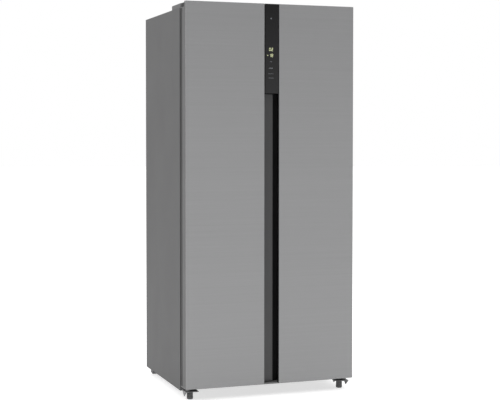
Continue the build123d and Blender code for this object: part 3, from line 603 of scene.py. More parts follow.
class FRIDGE_OT_door_glass(bpy.types.Operator):
    """Make the two door glasses, with rounded corners, a polished bevel and a black rear edge"""
    bl_idname = "fridge.door_glass"
    bl_label = "Door glass"

    def execute(self, context):
        grip_width, grip_cut, black_share = 3 * MM, 2.2 * MM, 0.6
        for name in SIDES:
            low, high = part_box(f"{name}_door_glass")
            bm = rounded_slab(low, high, 1, sizes().glass_corner, 5)
            round_edges(bm, front_edges(bm), sizes().glass_bevel, 2)
            if name == "right":
                grip = [v for v in bm.verts if v.co.y < low.y + TOUCH and v.co.x < low.x + grip_width]
                bmesh.ops.translate(bm, verts=grip, vec=(grip_cut, 0, 0))
            edge_y = low.y + black_share * (high.y - low.y)
            bmesh.ops.bisect_plane(bm, geom=bm.verts[:] + bm.edges[:] + bm.faces[:],
                                   plane_co=(0, edge_y, 0), plane_no=(0, 1, 0))
            for face in bm.faces:
                middle = face.calc_center_median()
                polished = name == "right" and face.normal.x < -0.05 and low.y + TOUCH < middle.y < edge_y
                face.material_index = 1 if middle.y > edge_y else 2 if polished else 0
            finish_piece(bm, f"{name}_glass_panel", "door_glass_grey", f"{name}_door",
                         replaces=[f"{name}_door_glass"], extra=["glass_edge", "glass_bevel"])
        return {"FINISHED"}


SEGMENTS = {"0": "abcdef", "1": "bc", "2": "abged", "8": "abcdefg", "-": "g"}
SEGMENT_ENDS = {"a": (0, 2, 1, 2), "b": (1, 1, 1, 2), "c": (1, 0, 1, 1), "d": (0, 0, 1, 0),
                "e": (0, 0, 0, 1), "f": (0, 1, 0, 2), "g": (0, 1, 1, 1)}


def add_digit(bm, sign, x, z, height, y):
    """Add one seven-segment sign between two levels of y, its lower left corner at x and z."""
    width, half, gap, thick = 0.52 * height, height / 2, 0.02 * height, 0.06 * height
    for key in SEGMENTS[sign]:
        x0, z0, x1, z1 = SEGMENT_ENDS[key]
        far = (half if x0 == x1 else width) - gap
        bar = [(gap, 0), (gap + thick, -thick), (far - thick, -thick), (far, 0), (far - thick, thick),
               (gap + thick, thick)]
        start_x, start_z = x + x0 * width, z + z0 * half
        points = [(start_x + across, start_z + along) if x0 == x1 else (start_x + along, start_z + across)
                  for along, across in bar]
        add_prism(bm, points, *y, axis="Y")


class FRIDGE_OT_control_panel(bpy.types.Operator):
    """Make the black glass control panel with its lit temperatures and touch marks"""
    bl_idname = "fridge.control_panel"
    bl_label = "Control panel"

    def execute(self, context):
        low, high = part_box("control_panel")
        glass_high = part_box("right_door_glass")[1]
        face_y, back_y, border = low.y + 0.4 * MM, glass_high.y, 4 * MM
        bm = rounded_slab((low.x + 0.3 * MM, face_y, low.z), (high.x - 0.8 * MM, back_y, high.z),
                          1, 1.5 * MM, 4)
        round_edges(bm, front_edges(bm), 0.7 * MM, 2)
        add_block(bm, (low.x + border, back_y, low.z + border),
                  (high.x - border, high.y, high.z - 2 * border), 2 * MM)
        finish_piece(bm, "control_panel_glass", "panel_black_glass", "right_door",
                     replaces=["control_panel"])

        # The drops below the top of the door glass are in metres; y is the depth of the marks.
        middle = (low.x + high.x) / 2 - 4 * MM
        height = sizes().digit_height
        step = 0.86 * height
        y = (face_y - 0.2 * MM, face_y + 0.1 * MM)
        bm = bmesh.new()
        for text, drop in (("02", 0.213), ("-18", 0.240)):
            for place, sign in enumerate(reversed(text)):
                add_digit(bm, sign, middle + (0.2 - place) * step, glass_high.z - drop, height, y)
        finish_piece(bm, "display_digits", "display_glow", "right_door")

        bm = bmesh.new()
        bars = [(0.290, 9 * MM), (0.2934, 9 * MM), (0.317, 12 * MM), (0.336, 12 * MM)]
        for drop, half in bars:
            z = glass_high.z - drop
            add_block(bm, (middle - half, y[0], z - 0.4 * MM), (middle + half, y[1], z + 0.4 * MM))
        z, arm, thick = glass_high.z - 0.067, 5 * MM, 0.35 * MM
        for turn in range(3):
            made = add_block(bm, (middle - arm, y[0], z - thick), (middle + arm, y[1], z + thick))
            turn_verts(bm, made, (middle, y[0], z), turn * math.pi / 3)
        z, radius, sink, inside = glass_high.z - 0.264, 7 * MM, 4 * MM, 0.88
        made = bmesh.ops.create_circle(bm, segments=40, radius=radius)["verts"]
        turn_verts(bm, made, (0, 0, 0), math.pi / 2, "X")
        bmesh.ops.translate(bm, verts=made, vec=(middle, y[0], z - sink))
        rim = list({e for v in made for e in v.link_edges})
        moved = new_verts(bmesh.ops.extrude_edge_only(bm, edges=rim))
        bmesh.ops.scale(bm, verts=moved, vec=(inside, 1, inside),
                        space=Matrix.Translation((-middle, 0, sink - z)))
        bmesh.ops.delete(bm, geom=[v for v in made + moved if v.co.z < z], context="VERTS")
        finish_piece(bm, "touch_marks", "display_mark", "right_door")
        return {"FINISHED"}


class FRIDGE_OT_handle_recess(bpy.types.Operator):
    """Line the handle recess with its grey wall and give both pull edges a rounded lip"""
    bl_idname = "fridge.handle_recess"
    bl_label = "Handle recess"

    def execute(self, context):
        low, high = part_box("right_handle_channel")
        glass_low, glass_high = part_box("right_door_glass")
        left_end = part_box("left_handle_channel")[1].x
        wall_y, wall_end = glass_low.y + 31 * MM, left_end + 51 * MM
        foot, head = low.z + 0.5 * MM, high.z - 2.5 * MM
        bm = bmesh.new()
        add_block(bm, (low.x, wall_y - 0.6 * MM, foot), (wall_end, wall_y, head), 0.5 * MM)
        add_block(bm, (wall_end - 2.2 * MM, wall_y - 1.4 * MM, foot),
                  (wall_end + 0.3 * MM, wall_y + 0.4 * MM, head), 0.6 * MM, 3)
        finish_piece(bm, "recess_wall", "recess_grey", "right_door")
        # The pull edges take the channel's near-black, which is partly painted shade of the undercut behind
        # each glass edge.
        for name, x in (("left", left_end), ("right", glass_low.x)):
            ends = sorted((x - SIDES[name] * 0.2 * MM, x + SIDES[name] * 5 * MM))
            bm = bmesh.new()
            add_block(bm, (ends[0], glass_high.y + 0.1 * MM, foot),
                      (ends[1], glass_low.y + 10 * MM, high.z - 0.5 * MM), 1.2 * MM, 3)
            finish_piece(bm, f"{name}_pull_edge", "handle_channel_black", f"{name}_door")
        return {"FINISHED"}


class FRIDGE_OT_hinge_covers(bpy.types.Operator):
    """Make the moulded covers over the upper hinges, with a cap and a round nose"""
    bl_idname = "fridge.hinge_covers"
    bl_label = "Hinge covers"

    def execute(self, context):
        low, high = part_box("hinge_covers")
        pin_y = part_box("left_door_glass")[0].y + 45 * MM
        nose = pin_y - low.y
        body_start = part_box("left_side_panel")[0].y + 4 * MM
        steps, top_z = 14, high.z - 1 * MM
        for name, side in SIDES.items():
            outer = low.x if side < 0 else high.x
            pin_x = side * (CAD_BOX[1].x - 22 * MM)
            inner = outer - side * 59 * MM
            turns = [math.pi * k / steps for k in range(steps + 1)]
            arc = [(pin_x - side * nose * math.cos(turn), pin_y - nose * math.sin(turn)) for turn in turns]
            bm = bmesh.new()
            add_prism(bm, arc + [(pin_x + side * nose, body_start), (outer, body_start), (outer, high.y),
                                 (inner, high.y), (inner, body_start), (pin_x - side * nose, body_start)],
                      low.z, top_z)
            round_edges(bm, edges_along(bm, 2, lambda p: p.y > body_start - MM), 4 * MM)
            top = [e for e in bm.edges if all(v.co.z > top_z - 0.1 * MM for v in e.verts)]
            round_edges(bm, top, sizes().cover_round, 3)
            # Painted shade: the round nose gets black plastic to stand for the shadow over the hinge pocket.
            for face in bm.faces:
                if face.calc_center_median().y < body_start - 6 * MM:
                    face.material_index = 1
            finish_piece(bm, f"{name}_hinge_cover", "cover_grey_plastic",
                         replaces=["hinge_covers"] if side < 0 else (), extra=["black_plastic"])
            cap = Vector(((outer + inner) / 2, high.y - 30 * MM, top_z))
            bm = bmesh.new()
            add_disc(bm, cap + mm(0, 0, 0.1), 7 * MM, 1.0 * MM, bevel=0.4 * MM)
            add_block(bm, cap + mm(-4.5, -0.7, 0.5), cap + mm(4.5, 0.7, 0.9))
            add_disc(bm, (pin_x, pin_y, top_z + 0.1 * MM), 7.5 * MM, 1.2 * MM)
            finish_piece(bm, f"{name}_hinge_caps", "black_plastic")
        return {"FINISHED"}


class FRIDGE_OT_feet(bpy.types.Operator):
    """Make the levelling feet with knurled pads and threaded studs, and the grooved rollers"""
    bl_idname = "fridge.feet"
    bl_label = "Feet and rollers"

    def execute(self, context):
        for name in SIDES:
            self.make_pad(name)
            self.make_stud(name)
            self.make_roller(name)
        return {"FINISHED"}

    def make_pad(self, name):
        """A turned pad whose rim and neck are knurled, every other tooth being cut back."""
        low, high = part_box(f"{name}_foot_pad")
        x, y = (low.x + high.x) / 2, (low.y + high.y) / 2
        radius = (high.x - low.x) / 2
        neck, hole, steps, cut = radius - 0.5 * MM, 5.2 * MM, 72, 0.965
        profile = [(0.0, 0.0), (radius - 4 * MM, 0.0), (radius - 1.4 * MM, 1.2), (radius, 4), (radius, 12.8),
                   (radius - 1.2 * MM, 13.6), (radius - 1.2 * MM, 14.6), (neck, 15.4), (neck, 28.4),
                   (neck - 1.6 * MM, 30), (hole, 30), (hole, 26), (0.0, 26)]
        bm = bmesh.new()
        add_turned(bm, [(x + r, y, z * MM) for r, z in profile], (x, y, 0), "Z", steps)
        for v in bm.verts:
            out = Vector((v.co.x - x, v.co.y - y))
            tooth = round(math.atan2(out.y, out.x) / math.tau * steps)
            if tooth % 2 and 3.5 * MM < v.co.z < 29 * MM and out.length > neck - 0.2 * MM:
                v.co.x, v.co.y = x + out.x * cut, y + out.y * cut
        finish_piece(bm, f"{name}_foot_knob", "foot_grey", f"{name}_foot_pad",
                     [f"{name}_foot_pad"])

    def make_stud(self, name):
        """A stud with a wound thread on its core."""
        low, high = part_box(f"{name}_foot_stud")
        pad_low, pad_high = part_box(f"{name}_foot_pad")
        x, y = (pad_low.x + pad_high.x) / 2, (pad_low.y + pad_high.y) / 2
        pitch, crest, root = 1.5 * MM, 5.0 * MM, 4.35 * MM
        profile = [(root, 0.0), (crest, 0.4), (crest, 0.55), (root, 0.95)]
        bm = bmesh.new()
        add_turned(bm, [(x + r, y, low.z + share * pitch) for r, share in profile], (x, y, 0), "Z", 24,
                   turns=int((high.z - low.z - pitch) / pitch), climb=pitch)
        add_disc(bm, (x, y, (low.z + high.z) / 2), root, high.z - low.z, segments=32)
        finish_piece(bm, f"{name}_foot_screw", "zinc", f"{name}_foot_stud",
                     [f"{name}_foot_stud"])

    def make_roller(self, name):
        """A wheel with rounded shoulders and a groove round its middle."""
        low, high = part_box(f"{name}_roller")
        x, y, z = (low + high) / 2
        radius, half = (high.z - low.z) / 2, (high.x - low.x) / 2
        bore, shoulder, groove = 4.2 * MM, radius - 3.5 * MM, radius - 1.2 * MM
        profile = [(-half, bore), (-half, shoulder), (1.2 * MM - half, groove), (2.4 * MM - half, radius),
                   (-1.2 * MM, radius), (-0.8 * MM, groove)]
        profile += [(-dx, r) for dx, r in reversed(profile)]
        bm = bmesh.new()
        add_turned(bm, [(x + dx, y, z + r) for dx, r in profile], (x, y, z), "X", 56, closed=True)
        finish_piece(bm, f"{name}_roller_wheel", "roller_grey", f"{name}_roller",
                     [f"{name}_roller"])


# ---- operators: the cabinet -----------------------------------------------------------
class FRIDGE_OT_side_panels(bpy.types.Operator):
    """Make the bent sheet side panels, with a rounded front fold and a return flange"""
    bl_idname = "fridge.side_panels"
    bl_label = "Side panels"

    def execute(self, context):
        fold, sheet, flange, slack = 2.2 * MM, 1 * MM, 18 * MM, 0.2 * MM
        turns = [math.pi / 2 * step / 5 for step in range(1, 6)]
        for name, side in SIDES.items():
            low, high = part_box(f"{name}_side_panel")
            outer = high.x if side > 0 else low.x
            outline = [(0, high.y), (0, low.y + fold)]           # x is measured in from the outer face
            outline += [(fold * (1 - math.cos(turn)), low.y + fold * (1 - math.sin(turn))) for turn in turns]
            outline += [(flange, low.y), (flange, low.y + sheet), (fold + slack, low.y + sheet),
                        (sheet, low.y + fold + slack), (sheet, high.y)]
            bm = bmesh.new()
            add_prism(bm, [(outer - side * x, y) for x, y in outline], low.z, high.z)
            finish_piece(bm, f"{name}_cabinet_side", "cabinet_grey",
                         replaces=[f"{name}_side_panel"])
        return {"FINISHED"}


class FRIDGE_OT_back(bpy.types.Operator):
    """Make the galvanised back with its pressed fields and fixing screws"""
    bl_idname = "fridge.back"
    bl_label = "Back panel"

    def execute(self, context):
        low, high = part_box("back_panel")
        face_y, sheet = high.y - 0.85 * MM, 0.8 * MM
        columns, rows, gap, slope, press = 3, 4, 26 * MM, 4 * MM, -4.6 * MM

        def fields(start, end, count):
            """The two ends of each pressed field along one direction."""
            pitch = (end - start - 2 * gap) / count
            return [(start + gap + k * pitch + gap / 2, start + gap + (k + 1) * pitch - gap / 2)
                    for k in range(count)]
        bm = bmesh.new()
        corners = ((low.x, low.z), (low.x, high.z), (high.x, high.z), (high.x, low.z))
        bm.faces.new([bm.verts.new((x, face_y, z)) for x, z in corners])
        fields_x, fields_z = fields(low.x, high.x, columns), fields(low.z, high.z, rows)
        for axis, cuts in (("X", fields_x), ("Z", fields_z)):
            normal = Vector(AXES[axis])
            for place in (end for field in cuts for end in field):
                bmesh.ops.bisect_plane(bm, geom=bm.verts[:] + bm.edges[:] + bm.faces[:],
                                       plane_co=normal * place, plane_no=normal)
        bmesh.ops.recalc_face_normals(bm, faces=bm.faces[:])
        if bm.faces[:][0].normal.y < 0:
            bmesh.ops.reverse_faces(bm, faces=bm.faces[:])
        for x0, x1 in fields_x:
            for z0, z1 in fields_z:
                middles = [(f, f.calc_center_median()) for f in bm.faces]
                field = [f for f, middle in middles if x0 < middle.x < x1 and z0 < middle.z < z1]
                bmesh.ops.inset_region(bm, faces=field, thickness=slope, depth=press, use_even_offset=True)
        bmesh.ops.solidify(bm, geom=bm.faces[:], thickness=sheet)
        finish_piece(bm, "back_sheet", "galvanised_steel", replaces=["back_panel"])

        edge_x, edge_z, wide, tall = 10 * MM, 14 * MM, high.x - low.x, high.z - low.z
        places = [(x, low.z + edge_z + k * (tall - 2 * edge_z) / 8)
                  for k in range(9) for x in (low.x + edge_x, high.x - edge_x)]
        places += [(low.x + k * wide / 5, z) for k in range(1, 5) for z in (low.z + edge_z, high.z - edge_z)]
        bm = bmesh.new()
        for x, z in places:
            add_disc(bm, (x, high.y - 0.5 * MM, z), 4.2 * MM, 0.9 * MM, "Y", 20, 0.3 * MM)
        finish_piece(bm, "back_screws", "zinc")
        return {"FINISHED"}


class FRIDGE_OT_foam(bpy.types.Operator):
    """Make the foam filling of the cabinet walls and of the doors, clear of every lining"""
    bl_idname = "fridge.foam"
    bl_label = "Insulation foam"

    def execute(self, context):
        low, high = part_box("foam_insulation")
        left, right, front, top = low.x + 2 * MM, high.x - 2 * MM, low.y + 4 * MM, high.z - 2 * MM
        inner, back, foot = 358 * MM, 336 * MM, 262 * MM     # the foot lies over the compressor
        slabs = [((left, front, foot), (-inner, back, top)),
                 ((inner, front, foot), (right, back, top)),
                 ((-63 * MM, front, foot), (-1 * MM, 262 * MM, top)),
                 ((left, front, 1722 * MM), (right, back, top)),
                 ((left, 300 * MM, foot), (right, back, top)),
                 ((left, front, 42 * MM), (right, 62 * MM, 90 * MM))]
        bm = bmesh.new()
        for start, end in slabs:
            add_block(bm, start, end, 4 * MM, 3)
        finish_piece(bm, "cabinet_foam", "insulation_foam", replaces=["foam_insulation"])
        for name, side in SIDES.items():
            low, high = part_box(f"{name}_door_foam")
            channel_low, channel_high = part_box(f"{name}_handle_channel")
            ends = (low.x, channel_low.x) if side < 0 else (channel_high.x, high.x)
            bm = bmesh.new()
            add_block(bm, (ends[0] + 2 * MM, low.y + 1 * MM, 85 * MM),
                      (ends[1] - 2 * MM, -265 * MM, 1730 * MM), 6 * MM, 3)
            finish_piece(bm, f"{name}_door_filling", "insulation_foam", f"{name}_door",
                         replaces=[f"{name}_door_foam"])
        return {"FINISHED"}


class FRIDGE_OT_liners(bpy.types.Operator):
    """Make the white compartment liners with moulded corners, shelf ledges and a front flange"""
    bl_idname = "fridge.liners"
    bl_label = "Compartment liners"

    def execute(self, context):
        corner, wall, foot = sizes().liner_corner, 1.6 * MM, 75 * MM
        floor, face, step = 95 * MM, 66 * MM, 300 * MM       # the step stands over the compressor
        for room in ("freezer", "fridge"):
            trim_low, trim_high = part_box(f"{room}_shelf_trims")
            low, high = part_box(f"{room}_liner")
            left, right = trim_low.x - 7 * MM, trim_high.x + 7 * MM
            front, back, ceiling = low.y, high.y - wall, high.z - 32 * MM
            bm = bmesh.new()
            add_prism(bm, [(front, floor), (face, floor), (face, step), (back, step), (back, ceiling),
                           (front, ceiling)], left, right, axis="X")
            inside = [e for e in bm.edges if not all(v.co.y < front + TOUCH for v in e.verts)]
            round_edges(bm, inside, corner, 5)
            opening = [f for f in bm.faces if all(v.co.y < front + TOUCH for v in f.verts)]
            bmesh.ops.delete(bm, geom=opening, context="FACES_ONLY")
            bmesh.ops.reverse_faces(bm, faces=bm.faces[:])
            bmesh.ops.solidify(bm, geom=bm.faces[:], thickness=wall)

            plate = bmesh.new()
            loops = []
            for x0, x1, z0, z1 in ((low.x, high.x, foot, high.z), (left, right, floor, ceiling)):
                ring = [plate.verts.new((x, front, z)) for x, z in ((x0, z0), (x1, z0), (x1, z1), (x0, z1))]
                loops += [plate.edges.new((ring[k], ring[(k + 1) % 4])) for k in range(4)]
            faces = bmesh.ops.bridge_loops(plate, edges=loops)["faces"]
            moved = new_verts(bmesh.ops.extrude_face_region(plate, geom=faces))
            bmesh.ops.translate(plate, verts=moved, vec=(0, wall, 0))
            bmesh.ops.recalc_face_normals(plate, faces=plate.faces[:])
            hole = edges_along(plate, 1, lambda p: left - MM < p.x < right + MM
                               and floor - MM < p.z < ceiling + MM)
            round_edges(plate, hole, corner, 5)
            take_in(bm, plate)

            for level in SHELF_LEVELS[1:]:
                for x0, x1 in ((left, left + 6 * MM), (right - 6 * MM, right)):
                    add_block(bm, (x0 - 0.5 * MM, -138 * MM, (level - 5) * MM),
                              (x1, 233 * MM, (level - 0.1) * MM), 1.8 * MM, 3)
            for x0, x1 in ((left, left + 3 * MM), (right - 3 * MM, right)):
                add_block(bm, (x0 - 0.5 * MM, -120 * MM, 160 * MM), (x1, 50 * MM, 166 * MM), 1.2 * MM)
            finish_piece(bm, f"{room}_liner_shell", "white_liner", replaces=[f"{room}_liner"])
        return {"FINISHED"}


class FRIDGE_OT_shelves(bpy.types.Operator):
    """Make the glass shelves with ground edges, and their front trims with a rounded nose"""
    bl_idname = "fridge.shelves"
    bl_label = "Shelves"

    def execute(self, context):
        for room in ("freezer", "fridge"):
            low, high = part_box(f"{room}_shelf_glasses")
            trim_low, trim_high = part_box(f"{room}_shelf_trims")
            # The nose's outline: millimetres behind its front, and above the underside of the glass.
            deep = (trim_high.y - trim_low.y) / MM
            nose = [(3, -4), (deep, -4), (deep, 0), (6, 0), (6, 4), (deep, 4), (deep, 6), (deep - 2, 8),
                    (3, 8), (1.4, 7.5), (0.5, 6.6), (0, 5), (0, -1), (0.5, -2.6), (1.4, -3.5)]
            panes, trims, bars = bmesh.new(), bmesh.new(), bmesh.new()
            for level in SHELF_LEVELS:
                z = level * MM
                pane = rounded_slab((low.x + 0.2 * MM, low.y + 0.3 * MM, z + 0.1 * MM),
                                    (high.x - 0.2 * MM, high.y - 4 * MM, z + 3.9 * MM), 2, 6 * MM, 4)
                flat = [e for e in pane.edges if abs(e.verts[0].co.z - e.verts[1].co.z) < 1e-6]
                round_edges(pane, flat, 0.6 * MM, 2)
                take_in(panes, pane)
                add_prism(trims, [(trim_low.y + y * MM, z + up * MM) for y, up in nose],
                          trim_low.x, trim_high.x, axis="X")
                add_block(bars, (low.x + 7 * MM, high.y - 9 * MM, z + 1 * MM),
                          (high.x - 7 * MM, high.y - 0.5 * MM, z + 12 * MM), 2 * MM, 3)
            for bm, name, finish, replaced in (
                    (panes, "panes", "shelf_glass", [f"{room}_shelf_glasses"]),
                    (trims, "noses", "shelf_trim_silver", [f"{room}_shelf_trims"]),
                    (bars, "back_stops", "clear_plastic", ())):
                finish_piece(bm, f"{room}_shelf_{name}", finish, replaces=replaced)
        return {"FINISHED"}


class FRIDGE_OT_drawers(bpy.types.Operator):
    """Make the clear drawers with rounded corners, ribs, a rolled rim and a front grip"""
    bl_idname = "fridge.drawers"
    bl_label = "Drawers"

    def execute(self, context):
        # The grip's hook: millimetres behind the drawer's front, and above the grip's top.
        hook = [(4, 0), (1.2, -1.2), (0, -4), (0, -12), (0.8, -14), (2.2, -14), (2.6, -5), (4.4, -2.7)]
        for node in ("freezer_drawer_1", "freezer_drawer_2", "crisper_1", "crisper_2"):
            low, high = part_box(node)
            front, margin = low.y + 16 * MM, 20 * MM
            bm = bmesh.new()
            add_tub(bm, (low.x, front, low.z + 0.2 * MM), high - mm(0, 0, 1), 14 * MM, 6 * MM)
            span = high.x - low.x - 2 * margin
            ribs = int(span / sizes().rib_pitch)
            for k in range(ribs + 1):
                x = low.x + margin + k * span / ribs
                add_block(bm, (x - 1.1 * MM, front - 0.9 * MM, low.z + 14 * MM),
                          (x + 1.1 * MM, front + 0.4 * MM, high.z - 46 * MM), 0.45 * MM)
            finish_piece(bm, f"{node}_tub", "clear_plastic", replaces=[node])
            top = high.z - 12 * MM
            profile = [(low.y + y * MM, top + z * MM) for y, z in [(17, 0), *hook, (17, -2.5)]]
            bm = bmesh.new()
            add_prism(bm, profile, low.x + 15 * MM, high.x - 15 * MM, axis="X")
            finish_piece(bm, f"{node}_grip", "shelf_trim_silver")
        return {"FINISHED"}


class FRIDGE_OT_lamps(bpy.types.Operator):
    """Make the ceiling lamps with a white bezel and a ribbed lens"""
    bl_idname = "fridge.lamps"
    bl_label = "Lamps"

    def execute(self, context):
        low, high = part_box("lamps")
        wide, ribs = 150 * MM, 12
        lens, frames = bmesh.new(), bmesh.new()
        for x0, x1 in ((low.x, low.x + wide), (high.x - wide, high.x)):
            take_in(lens, rounded_slab((x0 + 4 * MM, low.y + 4 * MM, low.z + 0.4 * MM),
                                       (x1 - 4 * MM, high.y - 4 * MM, high.z), 2, 4 * MM, 4))
            for k in range(ribs + 1):
                x = x0 + 10 * MM + k * (x1 - x0 - 20 * MM) / ribs
                add_block(lens, (x - 1.5 * MM, low.y + 5 * MM, low.z),
                          (x + 1.5 * MM, high.y - 5 * MM, low.z + 1 * MM), 0.5 * MM)
            outer = rounded_slab((x0, low.y, low.z + 1.5 * MM), (x1, high.y, high.z), 2, 6 * MM, 5)
            lower = [f for f in outer.faces if f.normal.z < -0.9]
            bmesh.ops.inset_region(outer, faces=lower, thickness=4 * MM, depth=-0.5 * MM, use_even_offset=True)
            take_in(frames, outer)
        finish_piece(lens, "lamp_lenses", "lamp_diffuser", replaces=["lamps"])
        finish_piece(frames, "lamp_bezels", "white_liner")
        return {"FINISHED"}


class FRIDGE_OT_air_vents(bpy.types.Operator):
    """Frame the air vents of both compartments, and put a guard in front of the freezer fan"""
    bl_idname = "fridge.air_vents"
    bl_label = "Air vents"

    def execute(self, context):
        cover_low, cover_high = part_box("evaporator_cover")
        trim_low, trim_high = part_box("fridge_shelf_trims")
        duct_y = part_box("fridge_air_duct")[0].y
        x, y, duct_x = (cover_low.x + cover_high.x) / 2, cover_low.y, (trim_low.x + trim_high.x) / 2
        # The frame's section: millimetres in from its outer edge, and behind the wall's face.
        section = ((0.0, 0.2), (0.4, -1.6), (1.4, -2.2), (3.0, -1.8), (4.2, 0.2))
        bm = bmesh.new()
        for centre, wall_y, half, levels in ((x, y, 83 * MM, (640, 1220, 1500, 1660)),
                                             (duct_x, duct_y, 42 * MM, (700, 980, 1260, 1450))):
            for level in levels:
                add_ring(bm, (centre - half, centre + half), ((level - 34) * MM, (level + 34) * MM),
                         [(inset * MM, wall_y + out * MM) for inset, out in section], 3 * MM)
        centre = Vector((x, y, 0.820))
        for radius in (18, 30, 42, 54):
            verts = bmesh.ops.create_circle(bm, segments=6, radius=1.3 * MM)["verts"]
            edges = list({e for v in verts for e in v.link_edges})
            bmesh.ops.translate(bm, verts=verts, vec=centre + mm(radius, -2.2, 0))
            bmesh.ops.spin(bm, geom=verts + edges, cent=centre, axis=AXES["Y"], angle=math.tau, steps=56,
                           use_merge=True)
        for k in range(6):
            made = add_block(bm, centre + mm(4, -2.8, -1.2), centre + mm(56, -1.2, 1.2), 0.4 * MM)
            turn_verts(bm, [v for v in made if v.is_valid], centre, k * math.pi / 3)
        add_disc(bm, centre + mm(0, -2, 0), 11 * MM, 2.4 * MM, "Y", 32, 0.6 * MM)
        finish_piece(bm, "vent_frames", "white_liner")
        return {"FINISHED"}


# ---- operators: the doors' inside -----------------------------------------------------
class FRIDGE_OT_door_liners(bpy.types.Operator):
    """Make each door's dark rear rim and its white inner panel with the moulded dyke"""
    bl_idname = "fridge.door_liners"
    bl_label = "Door liners"

    def execute(self, context):
        notch_deep, notch_z, dyke_z = 39.5 * MM, 1763.5 * MM, (107 * MM, 1705 * MM)
        for name, side in SIDES.items():
            low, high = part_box(f"{name}_door_liner")
            bins_low, bins_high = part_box(f"{name}_door_bins")
            seal_low, seal_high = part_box(f"{name}_door_gasket")
            outer, inner = (low.x, high.x) if side < 0 else (high.x, low.x)
            plane, tip, notch_x = seal_low.y, high.y, outer - side * notch_deep
            bm = bmesh.new()
            add_prism(bm, [(outer, low.z), (inner, low.z), (inner, high.z), (notch_x, high.z),
                           (notch_x, notch_z), (outer, notch_z)], low.y, plane - 0.6 * MM, axis="Y")
            rear = [e for e in bm.edges if all(v.co.y > plane - MM for v in e.verts)]
            round_edges(bm, rear, 2.5 * MM, 3)
            finish_piece(bm, f"{name}_door_rear_rim", "door_rim_grey", f"{name}_door",
                         [f"{name}_door_liner"])

            bm = rounded_slab((seal_low.x - 2 * MM, plane - 2 * MM, seal_low.z - 2 * MM),
                              (seal_high.x + 2 * MM, plane - 0.05 * MM, seal_high.z + 2 * MM), 1, 8 * MM, 5)
            # The dyke's section, alike on both sides of its top, which lies 7 mm in.
            rise = [(-8.5, plane - 0.3 * MM), (-6.8, plane + 2 * MM), (-5.8, tip - 8 * MM),
                    (-4.6, tip - 3 * MM), (-2.4, tip - 0.7 * MM)]
            section = rise + [(0, tip)] + [(-inset, y) for inset, y in reversed(rise)]
            add_ring(bm, (bins_low.x - 14.5 * MM, bins_high.x + 14.5 * MM), dyke_z,
                     [((7 + inset) * MM, y) for inset, y in section], 12 * MM)
            for level in BIN_LEVELS:
                for x0, x1 in ((bins_low.x - 1.2 * MM, bins_low.x + 0.6 * MM),
                               (bins_high.x - 0.6 * MM, bins_high.x + 1.2 * MM)):
                    add_block(bm, (x0, plane + 2 * MM, (level + 20) * MM),
                              (x1, plane + 26 * MM, (level + 28) * MM), 0.6 * MM)
            finish_piece(bm, f"{name}_door_inner_panel", "white_liner", f"{name}_door")
        return {"FINISHED"}


class FRIDGE_OT_gaskets(bpy.types.Operator):
    """Make the magnetic door seals with their bellows folds"""
    bl_idname = "fridge.gaskets"
    bl_label = "Door seals"

    def execute(self, context):
        # The folds' section: millimetres in from the seal's outer edge, and behind its front.
        folds = [(11.0, 0.0), (11.0, 1.8), (8.6, 3.1), (10.9, 4.8), (8.9, 6.4), (11.8, 7.8), (11.8, 10.4),
                 (11.0, 10.9), (1.0, 10.9), (0.2, 10.4), (0.2, 7.8), (3.1, 6.4), (1.1, 4.8), (3.4, 3.1),
                 (1.0, 1.8), (1.0, 0.0)]
        for name in SIDES:
            low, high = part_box(f"{name}_door_gasket")
            section = [(inset * MM, min(low.y + y * MM, high.y - 0.1 * MM)) for inset, y in folds]
            bm = bmesh.new()
            add_ring(bm, (low.x, high.x), (low.z, high.z), section)
            finish_piece(bm, f"{name}_seal", "gasket_grey", f"{name}_door",
                         replaces=[f"{name}_door_gasket"])
        return {"FINISHED"}


class FRIDGE_OT_door_bins(bpy.types.Operator):
    """Make the clear door bins with rounded corners, a rolled rim and a silver front strip"""
    bl_idname = "fridge.door_bins"
    bl_label = "Door bins"

    def execute(self, context):
        for name in SIDES:
            low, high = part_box(f"{name}_door_bins")
            tubs, strips = bmesh.new(), bmesh.new()
            for level in BIN_LEVELS:
                z0, z1 = level * MM, (level + 120) * MM
                add_tub(tubs, (low.x + 0.5 * MM, low.y, z0),
                        (high.x - 0.5 * MM, high.y - 1.5 * MM, z1 - 1 * MM), 18 * MM, 8 * MM)
                for k in range(3):
                    z = z0 + (24 + 9 * k) * MM
                    add_block(tubs, (low.x + 24 * MM, high.y - 2 * MM, z),
                              (high.x - 24 * MM, high.y - 0.8 * MM, z + 2.4 * MM), 0.5 * MM)
                add_block(strips, (low.x + 19 * MM, high.y - 2 * MM, z1 - 16 * MM),
                          (high.x - 19 * MM, high.y, z1 - 6 * MM), 0.9 * MM, 3)
            finish_piece(tubs, f"{name}_bin_tubs", "clear_plastic", f"{name}_door",
                         replaces=[f"{name}_door_bins"])
            finish_piece(strips, f"{name}_bin_strips", "shelf_trim_silver", f"{name}_door")
        return {"FINISHED"}


